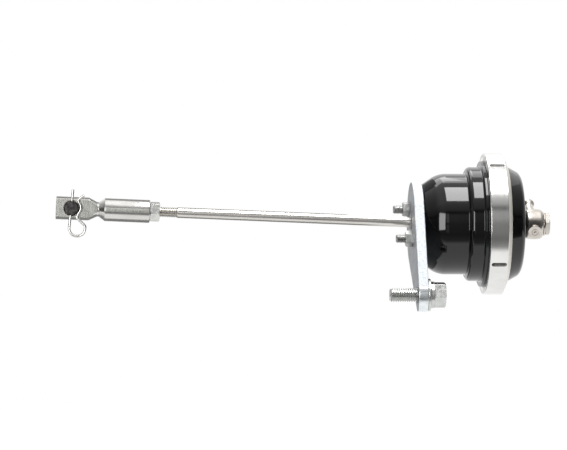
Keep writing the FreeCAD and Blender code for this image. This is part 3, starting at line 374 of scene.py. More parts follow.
# The locking collar is a turned aluminium ring, satin anodised, that screws over the flange
# and clamps the cap with its lip. Four closed slots take the hook spanner, and the cone on
# the cap's side is turned bare after the anodising.
collar_low, collar_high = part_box("locking_collar")
COLLAR_RADIUS = (collar_high.y - collar_low.y) / 2 / mm
COLLAR_START_X = (collar_low.x - FOOT_X) / mm
COLLAR_END_X = (collar_high.x - FOOT_X) / mm
COLLAR_LAND_X = COLLAR_START_X + 0.4
COLLAR_LAND_END_X = COLLAR_END_X - 2.7
COLLAR_FRONT_DROP = 0.6
COLLAR_BORE = FLANGE_RADIUS + 0.1
COLLAR_CONE_END = 34.0
COLLAR_LIP_RADIUS = 33.2
LIP_X = 46.0
SLOT_COUNT = 4
SLOT_ANGLE = 55.5
SLOT_DEPTH = 2.6
SLOT_WIDTH = 2.6
SLOT_START_X = COLLAR_LAND_END_X - 9.0
SLOT_END_X = COLLAR_LAND_END_X - 0.4


def cut_by(piece, cutter, operation="DIFFERENCE"):
    """Cut one solid by another, keep the result in the piece and drop the cutter."""
    cut = piece.modifiers.new("cut", "BOOLEAN")
    cut.object = cutter
    cut.operation = operation
    cut.solver = "EXACT"
    others = [modifier for modifier in piece.modifiers if modifier != cut]
    for other in others:
        other.show_viewport = False
    bpy.context.view_layer.update()
    evaluated = piece.evaluated_get(bpy.context.evaluated_depsgraph_get())
    result = bpy.data.meshes.new_from_object(evaluated)
    piece.modifiers.remove(cut)
    for other in others:
        other.show_viewport = True
    result.shade_smooth()
    result.set_sharp_from_angle(angle=SHARP_ANGLE)
    result.name = piece.name
    piece.data = result
    bpy.data.objects.remove(cutter)


satin = finish("satin_anodise", (0.72, 0.715, 0.70), 0.34, 1.0)
shades(satin, (50, 120, 120), (0.66, 0.655, 0.64), (0.74, 0.735, 0.72))
sheen(satin, (2600, 30, 30), 0.12, 0.20, detail=3.0)
relief(satin, (5200, 12, 12), 0.004, 0.4, detail=3.0)

bare_cone = finish("bare_chamfer", (0.80, 0.775, 0.71), 0.50, 1.0)
shades(bare_cone, (60, 160, 160), (0.74, 0.715, 0.65), (0.84, 0.82, 0.76))
sheen(bare_cone, (2600, 30, 30), 0.42, 0.58, detail=3.0)

# The slots' walls and floors get a matt milled grain and a colour far darker than the ring's:
# painted shade in the recess.
slot_shade = finish("milled_slot_painted_shade", (0.30, 0.295, 0.29), 0.55, 0.4)
shades(slot_shade, 400, (0.24, 0.235, 0.23), (0.34, 0.335, 0.325))
sheen(slot_shade, (1500, 200, 200), 0.48, 0.62)

collar_ring = placed_piece("collar_ring", turned([
    (COLLAR_START_X, COLLAR_BORE),
    (COLLAR_START_X, COLLAR_RADIUS - COLLAR_FRONT_DROP, 0.15),
    (COLLAR_LAND_X, COLLAR_RADIUS, 0.3),
    (COLLAR_LAND_END_X, COLLAR_RADIUS, 0.3),
    (COLLAR_END_X, COLLAR_CONE_END, 0.2),
    (COLLAR_END_X, COLLAR_LIP_RADIUS, 0.2),
    (LIP_X, COLLAR_LIP_RADIUS),
    (LIP_X, COLLAR_BORE),
], 192, segments=4), canister_place, [satin])
for number in range(SLOT_COUNT):
    slot_form = bmesh.new()
    bmesh.ops.create_cone(
        slot_form, cap_ends=True, segments=32, radius1=SLOT_WIDTH / 2 * mm,
        radius2=SLOT_WIDTH / 2 * mm, depth=2 * SLOT_DEPTH * mm,
    )
    for vert in slot_form.verts:
        if vert.co.x > 0:
            vert.co.x += (SLOT_END_X - SLOT_WIDTH / 2) * mm
        else:
            vert.co.x += (SLOT_START_X + SLOT_WIDTH / 2) * mm
        vert.co.z += COLLAR_RADIUS * mm
    slot_turn = 90 - SLOT_ANGLE + 360 / SLOT_COUNT * number
    slot_place = canister_place @ Matrix.Rotation(math.radians(slot_turn), 4, "X")
    cut_by(collar_ring, placed_piece("slot_cutter", slot_form, slot_place, [satin]))

# The land's corners get exact outward normals, so that the slots cast no false shading on it.
collar_ring.data.materials.append(bare_cone)
collar_ring.data.materials.append(slot_shade)
collar_ring.modifiers.clear()
land_normals = [corner.vector.copy() for corner in collar_ring.data.corner_normals]
for face in collar_ring.data.polygons:
    x = (face.center.x - FOOT_X) / mm
    outwards = face.center - canister_place.translation
    outwards.x = 0
    depth = COLLAR_RADIUS - outwards.length / mm
    on_cone = x > COLLAR_LAND_END_X + 0.3 and 0.3 < face.normal.x < 0.95
    in_slot = (
        SLOT_START_X < x < SLOT_END_X and 0.1 < depth < SLOT_DEPTH + 0.3
        and face.normal.dot(outwards) > -0.5
    )
    on_land = (
        COLLAR_LAND_X < x < COLLAR_LAND_END_X
        and face.normal.dot(outwards.normalized()) > 0.99
    )
    if on_cone:
        face.material_index = 1
    # Faces inside the slots take the darker colour, painted shade of the recess.
    elif in_slot:
        face.material_index = 2
    elif on_land:
        for corner, vertex in zip(face.loop_indices, face.vertices):
            straight_out = collar_ring.data.vertices[vertex].co - canister_place.translation
            straight_out.x = 0
            land_normals[corner] = straight_out.normalized()
collar_ring.data.normals_split_custom_set(land_normals)
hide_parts("locking_collar")
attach(collar_ring, "canister")

# The end cap is a second turned aluminium cup, black anodised like the body. Its flange is
# held by the collar's lip, and the small boss in its middle is tapped for the union's bolt.
cap_low, cap_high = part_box("end_cap")
CAP_START_X = (cap_low.x - FOOT_X) / mm
CAP_BOSS_X = (cap_high.x - FOOT_X) / mm
CAP_FACE_X = 56.6
CAP_FACE_WALL = 3.0
CAP_FLANGE_RADIUS = 35.3
CAP_NECK_RADIUS = 32.9
CAP_NECK_LENGTH = 2.3
CAP_DOME_RADIUS = 28.4
CAP_BORE = 30.3
CAP_BORE_DEPTH = 5.1
CAP_CROWN_BORE = 26.8
CAP_BOSS_RADIUS = 9.0
CAP_BOSS_INNER_X = 51.0
CAP_TAPPED_HOLE = 4.05

cap_shell = placed_piece("cap_shell", turned([
    (CAP_START_X, CAP_BORE),
    (CAP_START_X, CAP_FLANGE_RADIUS, 0.3),
    (LIP_X, CAP_FLANGE_RADIUS),
    (LIP_X, CAP_NECK_RADIUS),
    (LIP_X + CAP_NECK_LENGTH, CAP_NECK_RADIUS, 0.3),
    (CAP_FACE_X, CAP_DOME_RADIUS, 5.0),
    (CAP_FACE_X, CAP_BOSS_RADIUS, 0.3),
    (CAP_BOSS_X, CAP_BOSS_RADIUS, 0.3),
    (CAP_BOSS_X, CAP_TAPPED_HOLE),
    (CAP_BOSS_INNER_X, CAP_TAPPED_HOLE),
    (CAP_BOSS_INNER_X, CAP_BOSS_RADIUS, 0.3),
    (CAP_FACE_X - CAP_FACE_WALL, CAP_BOSS_RADIUS),
    (CAP_FACE_X - CAP_FACE_WALL, CAP_CROWN_BORE, 3.0),
    (CAP_START_X + CAP_BORE_DEPTH, CAP_BORE, 3.0),
], 160, segments=8), canister_place, [black_gloss])
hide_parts("end_cap")
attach(cap_shell, "canister")

# Inside, a rubber diaphragm rolls between the wall and an aluminium piston that two springs
# push back. Nothing of it shows, so these pieces keep their shape and only get their finish.
# The springs stand on the canister's foot, under the piston.
WEAVE = (900, 2600, 2600)
rubber = finish("cloth_backed_rubber", (0.016, 0.015, 0.015), 0.62, 0.0)
shades(rubber, 400, (0.010, 0.010, 0.010), (0.024, 0.022, 0.021))
sheen(rubber, WEAVE, 0.5, 0.75, detail=1.0)
relief(rubber, WEAVE, 0.05, 0.8, detail=1.0)

raw_aluminium = finish("turned_aluminium", (0.80, 0.80, 0.79), 0.30, 1.0)
shades(raw_aluminium, (60, 90, 90), (0.74, 0.74, 0.73), (0.84, 0.84, 0.83))
sheen(raw_aluminium, (3000, 20, 20), 0.22, 0.40, detail=3.0)
relief(raw_aluminium, (4000, 10, 10), 0.01, 0.8)

spring_steel = finish("phosphated_spring_steel", (0.16, 0.16, 0.165), 0.42, 1.0)
shades(spring_steel, 300, (0.10, 0.10, 0.105), (0.22, 0.22, 0.225))
sheen(spring_steel, 700, 0.34, 0.55, detail=3.0)
relief(spring_steel, 1500, 0.01, 0.5)

inner_finishes = {
    "diaphragm": rubber,
    "piston": raw_aluminium,
    "diaphragm_retainer": raw_aluminium,
    "ball_plug": spring_steel,
}
for node, material in inner_finishes.items():
    frame["nodes"][node].data.materials.clear()
    frame["nodes"][node].data.materials.append(material)

joints = {joint["name"]: joint for joint in frame["joints"]}
COIL_SHARP_ANGLE = math.radians(35)
for name, node in (("main_spring", "outer_spring"), ("nested_spring", "inner_spring")):
    coil_form = bmesh.new()
    coil_form.from_mesh(frame["nodes"][node].data)
    bmesh.ops.remove_doubles(coil_form, verts=coil_form.verts, dist=0.001 * mm)
    for face in coil_form.faces:
        face.smooth = True
    for edge in coil_form.edges:
        edge.smooth = edge.calc_face_angle(0) < COIL_SHARP_ANGLE
    coil_mesh = bpy.data.meshes.new(name)
    coil_form.to_mesh(coil_mesh)
    coil_form.free()
    coil_mesh.materials.append(spring_steel)
    coil = bpy.data.objects.new(name, coil_mesh)
    bpy.context.scene.collection.objects.link(coil)
    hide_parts(node)
    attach(coil, "canister")
    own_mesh(coil)

# The hose union is a barrel of nickel-plated brass that can be turned about its bolt, with a
# barbed nipple behind and a turned boss in front. It is clamped between an aluminium crush
# ring on the cap and a nickel-plated one under the bolt's head.
union_low, union_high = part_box("banjo_fitting")
UNION_START_X = (union_low.x - FOOT_X) / mm
UNION_END_X = (union_high.x - FOOT_X) / mm
UNION_MIDDLE_X = (UNION_START_X + UNION_END_X) / 2
UNION_BORE = 4.1
UNION_END_RADIUS = 8.0
UNION_CROWN_RADIUS = 8.9
UNION_ROUNDING = 2.3
RING_GAP = 0.02        # on each side, so that the turning barrel is clear of its rings
RING_RADIUS = 6.6
OUTER_RING_THICKNESS = 1.0
PORT_ANGLE = 29.0
PORT_START = 7.0
NIPPLE_BORE = 1.4
NIPPLE_ROOT_RADIUS = 4.6
NIPPLE_TUBE_RADIUS = 2.3
NIPPLE_BARB_RADIUS = 3.2
NIPPLE_END = 25.6
FRONT_BOSS_RADIUS = 3.85
FRONT_BOSS_FACE = 9.2
port_place = (
    canister_place @ Matrix.Translation((UNION_MIDDLE_X * mm, 0, 0))
    @ Matrix.Rotation(math.radians(PORT_ANGLE), 4, "X")
    @ Matrix.Rotation(math.radians(90), 4, "Z")
)

nickel = finish("dull_nickel", (0.56, 0.525, 0.485), 0.26, 1.0)
shades(nickel, 160, (0.48, 0.445, 0.405), (0.60, 0.565, 0.525))
sheen(nickel, 500, 0.21, 0.27, detail=3.0)
relief(nickel, 1200, 0.002, 0.5)

union_barrel = placed_piece("union_barrel", turned([
    (UNION_START_X + RING_GAP, UNION_BORE),
    (UNION_START_X + RING_GAP, UNION_END_RADIUS, UNION_ROUNDING),
    (UNION_MIDDLE_X, UNION_CROWN_RADIUS, 20),
    (UNION_END_X - RING_GAP, UNION_END_RADIUS, UNION_ROUNDING),
    (UNION_END_X - RING_GAP, UNION_BORE),
], 96), canister_place, [nickel])
nipple = placed_piece("hose_nipple", turned([
    (PORT_START, NIPPLE_BORE),
    (PORT_START, NIPPLE_ROOT_RADIUS),
    (10.2, NIPPLE_ROOT_RADIUS, 0.4),
    (13.0, NIPPLE_TUBE_RADIUS, 0.6),
    (20.6, NIPPLE_TUBE_RADIUS, 0.5),
    (23.0, NIPPLE_BARB_RADIUS, 0.2),
    (24.0, NIPPLE_BARB_RADIUS, 0.5),
    (NIPPLE_END, NIPPLE_TUBE_RADIUS, 0.3),
    (NIPPLE_END, NIPPLE_BORE),
], 64), port_place, [nickel])
front_boss = placed_piece("union_front_boss", turned([
    (-PORT_START, 0),
    (-PORT_START, FRONT_BOSS_RADIUS),
    (-FRONT_BOSS_FACE, FRONT_BOSS_RADIUS, 0.15),
    (-FRONT_BOSS_FACE, 2.2, 0.1),
    (-9.12, 2.0, 0.1),
    (-9.12, 1.7, 0.1),
    (-FRONT_BOSS_FACE, 1.5, 0.1),
    (-FRONT_BOSS_FACE, 0.75, 0.1),
    (-8.9, 0.35, 0.1),
    (-8.85, 0),
], 64, closed=False), port_place, [nickel])
for piece in (union_barrel, nipple, front_boss):
    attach(piece, "banjo")
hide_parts("banjo_fitting")


def washer(name, start, end, hole, radius, rounding, place, material):
    """Turned ring with rounded rims."""
    return placed_piece(name, turned([
        (start, hole, rounding / 2),
        (start, radius, rounding),
        (end, radius, rounding),
        (end, hole, rounding / 2),
    ], 96, segments=4), place, [material])


HEAD_SEAT_X = UNION_END_X + OUTER_RING_THICKNESS
inner_crush_ring = washer(
    "inner_crush_ring", CAP_BOSS_X, UNION_START_X, UNION_BORE, RING_RADIUS, 0.4,
    canister_place, raw_aluminium,
)
outer_crush_ring = washer(
    "outer_crush_ring", UNION_END_X, HEAD_SEAT_X, UNION_BORE, RING_RADIUS, 0.3,
    canister_place, nickel,
)
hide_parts("banjo_inner_washer")
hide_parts("banjo_outer_washer")
for piece in (inner_crush_ring, outer_crush_ring):
    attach(piece, "canister")

# The union's bolt is a hollow hexagon bolt of nickel-plated brass. Its head is low, with the
# corners turned off on the outside, and its shank screws into the cap's boss.
UNION_BOLT_FLATS = 12.0
UNION_BOLT_HEAD = 2.5
UNION_BOLT_TURN = -5.0
UNION_BOLT_RADIUS = 4.0
UNION_BOLT_END_X = 51.6
CORNER_SHARE = 0.97
CORNER_ANGLE = math.radians(30)
HEXAGON_BEVEL = 0.12


def hexagon(flats, start, end, turn):
    """Hexagonal bar along X with softened edges, its front corner turned down from -Y."""
    form = bmesh.new()
    lying = Matrix.Translation((start * mm, 0, 0)) @ Matrix.Rotation(math.radians(90), 4, "Y")
    lying = lying @ Matrix.Rotation(math.radians(turn), 4, "Z")
    bmesh.ops.create_circle(
        form, cap_ends=True, segments=6, radius=flats / math.sqrt(3) * mm, matrix=lying,
    )
    raised = bmesh.ops.extrude_face_region(form, geom=form.faces[:])
    top = [item for item in raised["geom"] if isinstance(item, bmesh.types.BMVert)]
    bmesh.ops.translate(form, vec=((end - start) * mm, 0, 0), verts=top)
    bmesh.ops.recalc_face_normals(form, faces=form.faces)
    bmesh.ops.bevel(
        form, geom=form.edges[:], offset=HEXAGON_BEVEL * mm, offset_type="OFFSET",
        segments=2, profile=0.5, affect="EDGES", material=-1,
    )
    return form


def chamfered_nut(name, flats, start, end, turn, ends, hole, place, material):
    """Nut or bolt head: a hexagon whose corners are turned off at the given ends."""
    corner = flats / math.sqrt(3)
    face = flats / 2 * CORNER_SHARE
    rise = (corner - face) * math.tan(CORNER_ANGLE)
    clear = corner + 1
    nut = placed_piece(name, hexagon(flats, start, end, turn), place, [material])
    outline = [(start - 1, 0), (start - 1, clear), (end + 1, clear), (end + 1, 0)]
    if "low" in ends:
        outline[:2] = [(start, 0), (start, face), (start + rise, corner), (start + rise, clear)]
    if "high" in ends:
        outline[-2:] = [(end - rise, clear), (end - rise, corner), (end, face), (end, 0)]
    envelope = turned(outline, 96, closed=False)
    cut_by(nut, placed_piece("chamfer", envelope, place, [material]), "INTERSECT")
    if hole:
        bore = turned([
            (start - 1, 0), (start - 1, hole), (end + 1, hole), (end + 1, 0),
        ], 64, closed=False)
        cut_by(nut, placed_piece("bore", bore, place, [material]))
    return nut


union_bolt = chamfered_nut(
    "union_bolt", UNION_BOLT_FLATS, HEAD_SEAT_X, HEAD_SEAT_X + UNION_BOLT_HEAD,
    UNION_BOLT_TURN, ("high",), 0, canister_place, nickel,
)
bolt_shank = placed_piece("union_bolt_shank", turned([
    (UNION_BOLT_END_X, 0),
    (UNION_BOLT_END_X, UNION_BOLT_RADIUS - 0.3),
    (UNION_BOLT_END_X + 0.5, UNION_BOLT_RADIUS),
    (HEAD_SEAT_X + 0.2, UNION_BOLT_RADIUS),
    (HEAD_SEAT_X + 0.2, 0),
], 64, closed=False), canister_place, [nickel])
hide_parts("banjo_bolt")
for piece in (union_bolt, bolt_shank):
    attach(piece, "canister")

# The bracket is a teardrop of laser-cut steel plate, zinc plated, clamped to the canister's
# foot by two studs. Its cut edge keeps the speckle of the cutting under the plating, and the
# edge round the lug is ground smooth.
plate_low, plate_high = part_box("bracket")
PLATE_THICKNESS = (plate_high.x - plate_low.x) / mm
AXIS_Y = canister_place.translation.y / mm
AXIS_Z = canister_place.translation.z / mm
PLATE_DISC_RADIUS = 23.7
PLATE_ROUNDING = 0.45
PLATE_ROD_HOLE = 7.5
LUG_RADIUS = 9.3
LUG_HOLE = 4.5
SMOOTH_EDGE_TOP = 4.5
STUD_Y = 8.8
STUD_Z = 8.2
STUD_HOLE = 2.75

zinc = finish("blue_zinc_plate", (0.27, 0.28, 0.30), 0.42, 1.0)
shades(zinc, 120, (0.21, 0.225, 0.245), (0.32, 0.335, 0.355), detail=4.0)
sheen(zinc, 400, 0.34, 0.52, detail=3.0)
relief(zinc, 900, 0.006, 0.5)

SPECKLE = (2000, 2400, 2400)
cut_edge = finish("plated_cut_edge", (0.82, 0.84, 0.85), 0.62, 0.3)
shades(
    cut_edge, SPECKLE, (0.30, 0.33, 0.36), (0.71, 0.72, 0.73),
    reach=(0.40, 0.7), middle=(0.50, (0.56, 0.585, 0.61)), roughness=0.6,
)
sheen(cut_edge, SPECKLE, 0.5, 0.75, roughness=0.6)
relief(cut_edge, SPECKLE, 0.012, 0.6, roughness=0.6)

smooth_edge = finish("smooth_lug_edge", (0.72, 0.75, 0.77), 0.28, 1.0)
shades(smooth_edge, (300, 600, 600), (0.66, 0.70, 0.72), (0.76, 0.79, 0.80))
sheen(smooth_edge, (300, 1200, 1200), 0.22, 0.34)


def plate_outline(form):
    """Teardrop wire in the YZ plane: two arcs and the lines that touch them both."""
    disc = Vector((0, AXIS_Y, AXIS_Z))
    along = disc.normalized()
    across = Vector((1, 0, 0)).cross(along)
    lean = math.asin((PLATE_DISC_RADIUS - LUG_RADIUS) / disc.length)
    quarter = math.pi / 2
    verts = []
    for centre, radius, first, last, count in (
        (Vector((0, 0, 0)), LUG_RADIUS, quarter + lean, 3 * quarter - lean, 40),
        (disc, PLATE_DISC_RADIUS, -quarter - lean, quarter + lean, 96),
    ):
        for step in range(count + 1):
            angle = first + (last - first) * step / count
            point = centre + along * (radius * math.cos(angle))
            point += across * (radius * math.sin(angle))
            verts.append(form.verts.new(point * mm))
    return verts


plate_form = bmesh.new()
plate_face = plate_form.faces.new(plate_outline(plate_form))
lifted = bmesh.ops.extrude_face_region(plate_form, geom=[plate_face])
bmesh.ops.translate(
    plate_form, vec=(PLATE_THICKNESS * mm, 0, 0),
    verts=[item for item in lifted["geom"] if isinstance(item, bmesh.types.BMVert)],
)
bmesh.ops.recalc_face_normals(plate_form, faces=plate_form.faces)
rim_edges = [
    edge for edge in plate_form.edges
    if abs(edge.verts[0].co.x - edge.verts[1].co.x) < 0.01 * mm
]
bmesh.ops.bevel(
    plate_form, geom=rim_edges, offset=PLATE_ROUNDING * mm, offset_type="OFFSET",
    segments=3, profile=0.5, affect="EDGES", material=-1,
)
mounting_plate = placed_piece("mounting_plate", plate_form, Matrix.Identity(4), [zinc])
for radius, y, z in (
    (LUG_HOLE, 0, 0),
    (PLATE_ROD_HOLE, AXIS_Y, AXIS_Z),
    (STUD_HOLE, AXIS_Y + STUD_Y, AXIS_Z + STUD_Z),
    (STUD_HOLE, AXIS_Y - STUD_Y, AXIS_Z - STUD_Z),
):
    hole_form = turned([
        (-1, 0), (-1, radius), (PLATE_THICKNESS + 1, radius), (PLATE_THICKNESS + 1, 0),
    ], 64, closed=False)
    hole_place = Matrix.Translation((0, y * mm, z * mm))
    cut_by(mounting_plate, placed_piece("hole", hole_form, hole_place, [zinc]))
mounting_plate.data.materials.append(cut_edge)
mounting_plate.data.materials.append(smooth_edge)
for face in mounting_plate.data.polygons:
    if abs(face.normal.x) <= 0.8:
        face.material_index = 1 if face.center.z > SMOOTH_EDGE_TOP * mm else 2
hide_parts("bracket")
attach(mounting_plate, "canister")

# Two plated studs are screwed into the canister's foot, and a hexagon nut on each clamps the
# bracket. Their threads are rolled, and their zinc has gone duller than the bolt's.
studs_low, studs_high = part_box("bracket_studs")
STUD_START_X = (studs_low.x - FOOT_X) / mm
STUD_END_X = (studs_high.x - FOOT_X) / mm
STUD_RADIUS = 2.5
STUD_PITCH = 0.8
STUD_ROOT_RADIUS = 2.45
STUD_NUT_FLATS = 8.0
STUD_NUT_THICKNESS = 3.9
STUD_NUT_HOLE = 2.3
THREAD_STEPS = 40
THREAD_TIP = 0.2
stud_places = [
    canister_place @ Matrix.Translation((0, side * STUD_Y * mm, side * STUD_Z * mm))
    for side in (1, -1)
]

dull_zinc = finish("dull_zinc_fastener", (0.38, 0.385, 0.375), 0.32, 1.0)
shades(dull_zinc, 300, (0.32, 0.325, 0.315), (0.44, 0.445, 0.43))
sheen(dull_zinc, 500, 0.26, 0.38, detail=3.0)
relief(dull_zinc, 900, 0.002, 0.5)


def thread(radius, pitch, start, end):
    """Closed form of a screw thread along X, its crests at the radius, with a pointed start."""
    root = radius - 0.61 * pitch
    form = bmesh.new()
    tooth = [(0, root), (0.07, root), (0.43, radius), (0.57, radius), (0.93, root), (1, root)]
    verts = [
        form.verts.new(((start + (share - 1) * pitch) * mm, 0, height * mm))
        for share, height in tooth
    ]
    for first, second in zip(verts, verts[1:]):
        form.edges.new((first, second))
    turns = math.ceil((end - start) / pitch) + 2
    bmesh.ops.spin(
        form, geom=form.verts[:] + form.edges[:], axis=(1, 0, 0), cent=(0, 0, 0),
        dvec=(pitch * mm / THREAD_STEPS, 0, 0), angle=2 * math.pi * turns,
        steps=THREAD_STEPS * turns, use_merge=False, use_duplicate=False,
    )
    bmesh.ops.remove_doubles(form, verts=form.verts, dist=0.002 * mm)
    for x, way in ((start * mm, -1), (end * mm, 1)):
        bmesh.ops.bisect_plane(
            form, geom=form.verts[:] + form.edges[:] + form.faces[:], dist=1e-7,
            plane_co=(x, 0, 0), plane_no=(way, 0, 0), clear_outer=True,
        )
        rim = [
            edge for edge in form.edges
            if edge.is_boundary and all(abs(vert.co.x - x) < 1e-6 for vert in edge.verts)
        ]
        bmesh.ops.contextual_create(form, geom=rim)
    for vert in form.verts:
        reach = math.hypot(vert.co.y, vert.co.z)
        limit = (root - THREAD_TIP) * mm + (vert.co.x - start * mm)
        if reach > limit:
            vert.co.y *= limit / reach
            vert.co.z *= limit / reach
    bmesh.ops.recalc_face_normals(form, faces=form.faces)
    return form


for number, place in enumerate(stud_places):
    stud_form = thread(STUD_RADIUS, STUD_PITCH, STUD_START_X, -PLATE_THICKNESS + 2)
    stud = placed_piece(f"stud_{number + 1}", stud_form, place, [dull_zinc])
    stud_root = placed_piece(f"stud_{number + 1}_root", turned([
        (-PLATE_THICKNESS + 1.8, 0),
        (-PLATE_THICKNESS + 1.8, 2.2),
        (-3, STUD_ROOT_RADIUS),
        (STUD_END_X - 0.3, STUD_ROOT_RADIUS),
        (STUD_END_X, 2.1),
        (STUD_END_X, 0),
    ], 48, closed=False), place, [dull_zinc])
    nut = chamfered_nut(
        f"stud_nut_{number + 1}", STUD_NUT_FLATS, -PLATE_THICKNESS - STUD_NUT_THICKNESS,
        -PLATE_THICKNESS, 10.0 + 17.0 * number, ("low",), STUD_NUT_HOLE, place, dull_zinc,
    )
    if number == 0:
        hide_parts("bracket_studs")
        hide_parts("bracket_stud_nuts")
    for piece in (stud, stud_root, nut):
        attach(piece, "canister")

# The mounting bolt goes through the lug and holds the whole actuator. Under its hexagon head
# sit a split spring washer and a wide flat washer, all bright zinc plated.
flat_low, flat_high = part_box("flat_washer")
spring_low, spring_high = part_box("spring_washer")
bolt_low, bolt_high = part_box("mounting_bolt")
HEAD_X = spring_high.x / mm
LUG_BOLT_FLATS = 13.0
LUG_BOLT_TURN = 9.0
LUG_BOLT_RADIUS = 3.94
LUG_BOLT_PITCH = 1.25
LUG_SHANK_RADIUS = 3.95
WASHER_HOLE = 4.3
FLAT_WASHER_RADIUS = 9.0
SPRING_WASHER_RADIUS = 7.4
SLIT_LENGTH = 8.4
SLIT_WIDTH = 1.4
SLIT_TURN = math.radians(30)
SLIT_LEAN = math.radians(30)
bolt_place = Matrix.Identity(4)

plated = finish("bright_zinc_fastener", (0.55, 0.56, 0.54), 0.30, 1.0)
shades(plated, 260, (0.48, 0.495, 0.475), (0.60, 0.605, 0.59))
sheen(plated, 500, 0.22, 0.36, detail=3.0)
relief(plated, 900, 0.002, 0.5)

flat_ring = washer(
    "flat_ring", flat_low.x / mm, flat_high.x / mm, WASHER_HOLE, FLAT_WASHER_RADIUS, 0.35,
    bolt_place, plated,
)
split_ring = washer(
    "split_ring", spring_low.x / mm, HEAD_X, WASHER_HOLE, SPRING_WASHER_RADIUS, 0.3,
    bolt_place, plated,
)
slit_form = bmesh.new()
bmesh.ops.create_cube(slit_form, size=1)
bmesh.ops.scale(
    slit_form, vec=(SLIT_LENGTH * mm, SLIT_WIDTH * mm, 2 * SPRING_WASHER_RADIUS * mm),
    verts=slit_form.verts,
)
bmesh.ops.translate(slit_form, vec=(0, 0, SPRING_WASHER_RADIUS * mm), verts=slit_form.verts)
slit_place = (
    Matrix.Rotation(SLIT_TURN, 4, "X")
    @ Matrix.Translation(((spring_low.x + spring_high.x) / 2, 0, 0))
    @ Matrix.Rotation(SLIT_LEAN, 4, "Z")
)
cut_by(split_ring, placed_piece("slit", slit_form, slit_place, [plated]))
lug_bolt = chamfered_nut(
    "lug_bolt_head", LUG_BOLT_FLATS, HEAD_X, bolt_high.x / mm, LUG_BOLT_TURN, ("high",), 0,
    bolt_place, plated,
)
lug_bolt_form = thread(LUG_BOLT_RADIUS, LUG_BOLT_PITCH, bolt_low.x / mm, 2.0)
lug_bolt_thread = placed_piece("lug_bolt_thread", lug_bolt_form, bolt_place, [plated])
lug_bolt_shank = placed_piece("lug_bolt_shank", turned([
    (1.8, 0),
    (1.8, 3.2),
    (2.6, LUG_SHANK_RADIUS),
    (HEAD_X + 0.5, LUG_SHANK_RADIUS),
    (HEAD_X + 0.5, 0),
], 64, closed=False), bolt_place, [plated])
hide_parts("flat_washer")
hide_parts("spring_washer")
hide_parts("mounting_bolt")
for piece in (flat_ring, split_ring, lug_bolt, lug_bolt_thread, lug_bolt_shank):
    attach(piece, "canister")

# The pull rod is drawn stainless bar with a ball on its inner end and a rolled thread on the
# outer one. It leans upwards a little from the ball, and swings and slides with the piston.
ball_centre = Vector(joints["rod_swing"]["pos_m"])
rod_line = Vector(joints["rod_end_travel"]["axis"])
BALL_X = (ball_centre.x - FOOT_X) / mm
rod_place = (
    Matrix.Translation(ball_centre)
    @ Matrix.Rotation(math.atan2(rod_line.z, -rod_line.x), 4, "Y")
    @ Matrix.Translation((-BALL_X * mm, 0, 0))
)
BALL_RADIUS = 5.0
ROD_RADIUS = 3.0
ROD_END_X = -153.1
ROD_SHOULDER_X = -138.2
ROD_TIP_X = -168.1
ROD_THREAD_RADIUS = 2.96
ROD_THREAD_ROOT = 2.35
ROD_PITCH = 1.0

stainless = finish("drawn_stainless", (0.62, 0.60, 0.57), 0.24, 1.0)
shades(stainless, (12, 500, 500), (0.54, 0.52, 0.49), (0.68, 0.66, 0.63), detail=3.0)
sheen(stainless, (18, 1800, 1800), 0.16, 0.34, detail=4.0)
relief(stainless, (25, 2200, 2200), 0.001, 0.5, detail=3.0)

rod_bar = placed_piece("rod_bar", turned([
    (BALL_X + BALL_RADIUS, 0),
    (BALL_X + BALL_RADIUS, 0.5),
    (BALL_X, BALL_RADIUS, 4.6),
    (BALL_X - BALL_RADIUS, ROD_RADIUS, 0.3),
    (ROD_SHOULDER_X + 0.6, ROD_RADIUS, 0.3),
    (ROD_SHOULDER_X - 0.2, ROD_THREAD_ROOT),
    (ROD_SHOULDER_X - 0.2, 0),
], 64, closed=False), rod_place, [stainless])
rod_thread_form = thread(ROD_THREAD_RADIUS, ROD_PITCH, ROD_TIP_X, ROD_SHOULDER_X)
rod_thread = placed_piece("rod_thread", rod_thread_form, rod_place, [stainless])
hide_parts("rod")
for piece in (rod_bar, rod_thread):
    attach(piece, "rod")

# The jam nut locks the rod end on the thread. It is a thin plated nut, duller than the rod,
# with both its faces chamfered.
JAM_NUT_FLATS = 10.0
JAM_NUT_THICKNESS = 5.5
JAM_NUT_TURN = 12.5
THREADED_HOLE = 2.7

satin_steel = finish("satin_plated_steel", (0.60, 0.60, 0.585), 0.28, 1.0)
shades(satin_steel, 300, (0.54, 0.54, 0.525), (0.66, 0.66, 0.64), detail=3.0)
sheen(satin_steel, 500, 0.22, 0.32, detail=3.0)
relief(satin_steel, 900, 0.002, 0.5)

lock_nut = chamfered_nut(
    "lock_nut", JAM_NUT_FLATS, ROD_END_X, ROD_END_X + JAM_NUT_THICKNESS, JAM_NUT_TURN,
    ("low", "high"), THREADED_HOLE, rod_place, satin_steel,
)
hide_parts("jam_nut")
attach(lock_nut, "jam_nut")

# The rod end is turned from round bar, necked down and milled flat on two sides to a tongue
# with an eye. The turned part keeps its fine rings, the milled faces their straight grain.
BAR_RADIUS = 6.5
BAR_END_X = -178.5
BAR_TAPER = 3.4
NECK_RADIUS = 4.1
TONGUE_X = -182.8
TONGUE_END_X = -206.0
TONGUE_CROWN = 4.6
TONGUE_HALF = 4.2
CUTTER_LENGTH = 24.2
CUTTER_HEIGHT = 4.0
PIN_X = -197.4
EYE_RADIUS = 4.05
EYE_RIM_RADIUS = 4.4

turned_steel = finish("turned_rod_end", (0.60, 0.59, 0.57), 0.26, 1.0)
shades(turned_steel, (40, 300, 300), (0.52, 0.51, 0.49), (0.66, 0.65, 0.63), detail=3.0)
sheen(turned_steel, (1200, 60, 60), 0.18, 0.24, detail=3.0)
relief(turned_steel, (2400, 30, 30), 0.001, 0.2, detail=3.0)

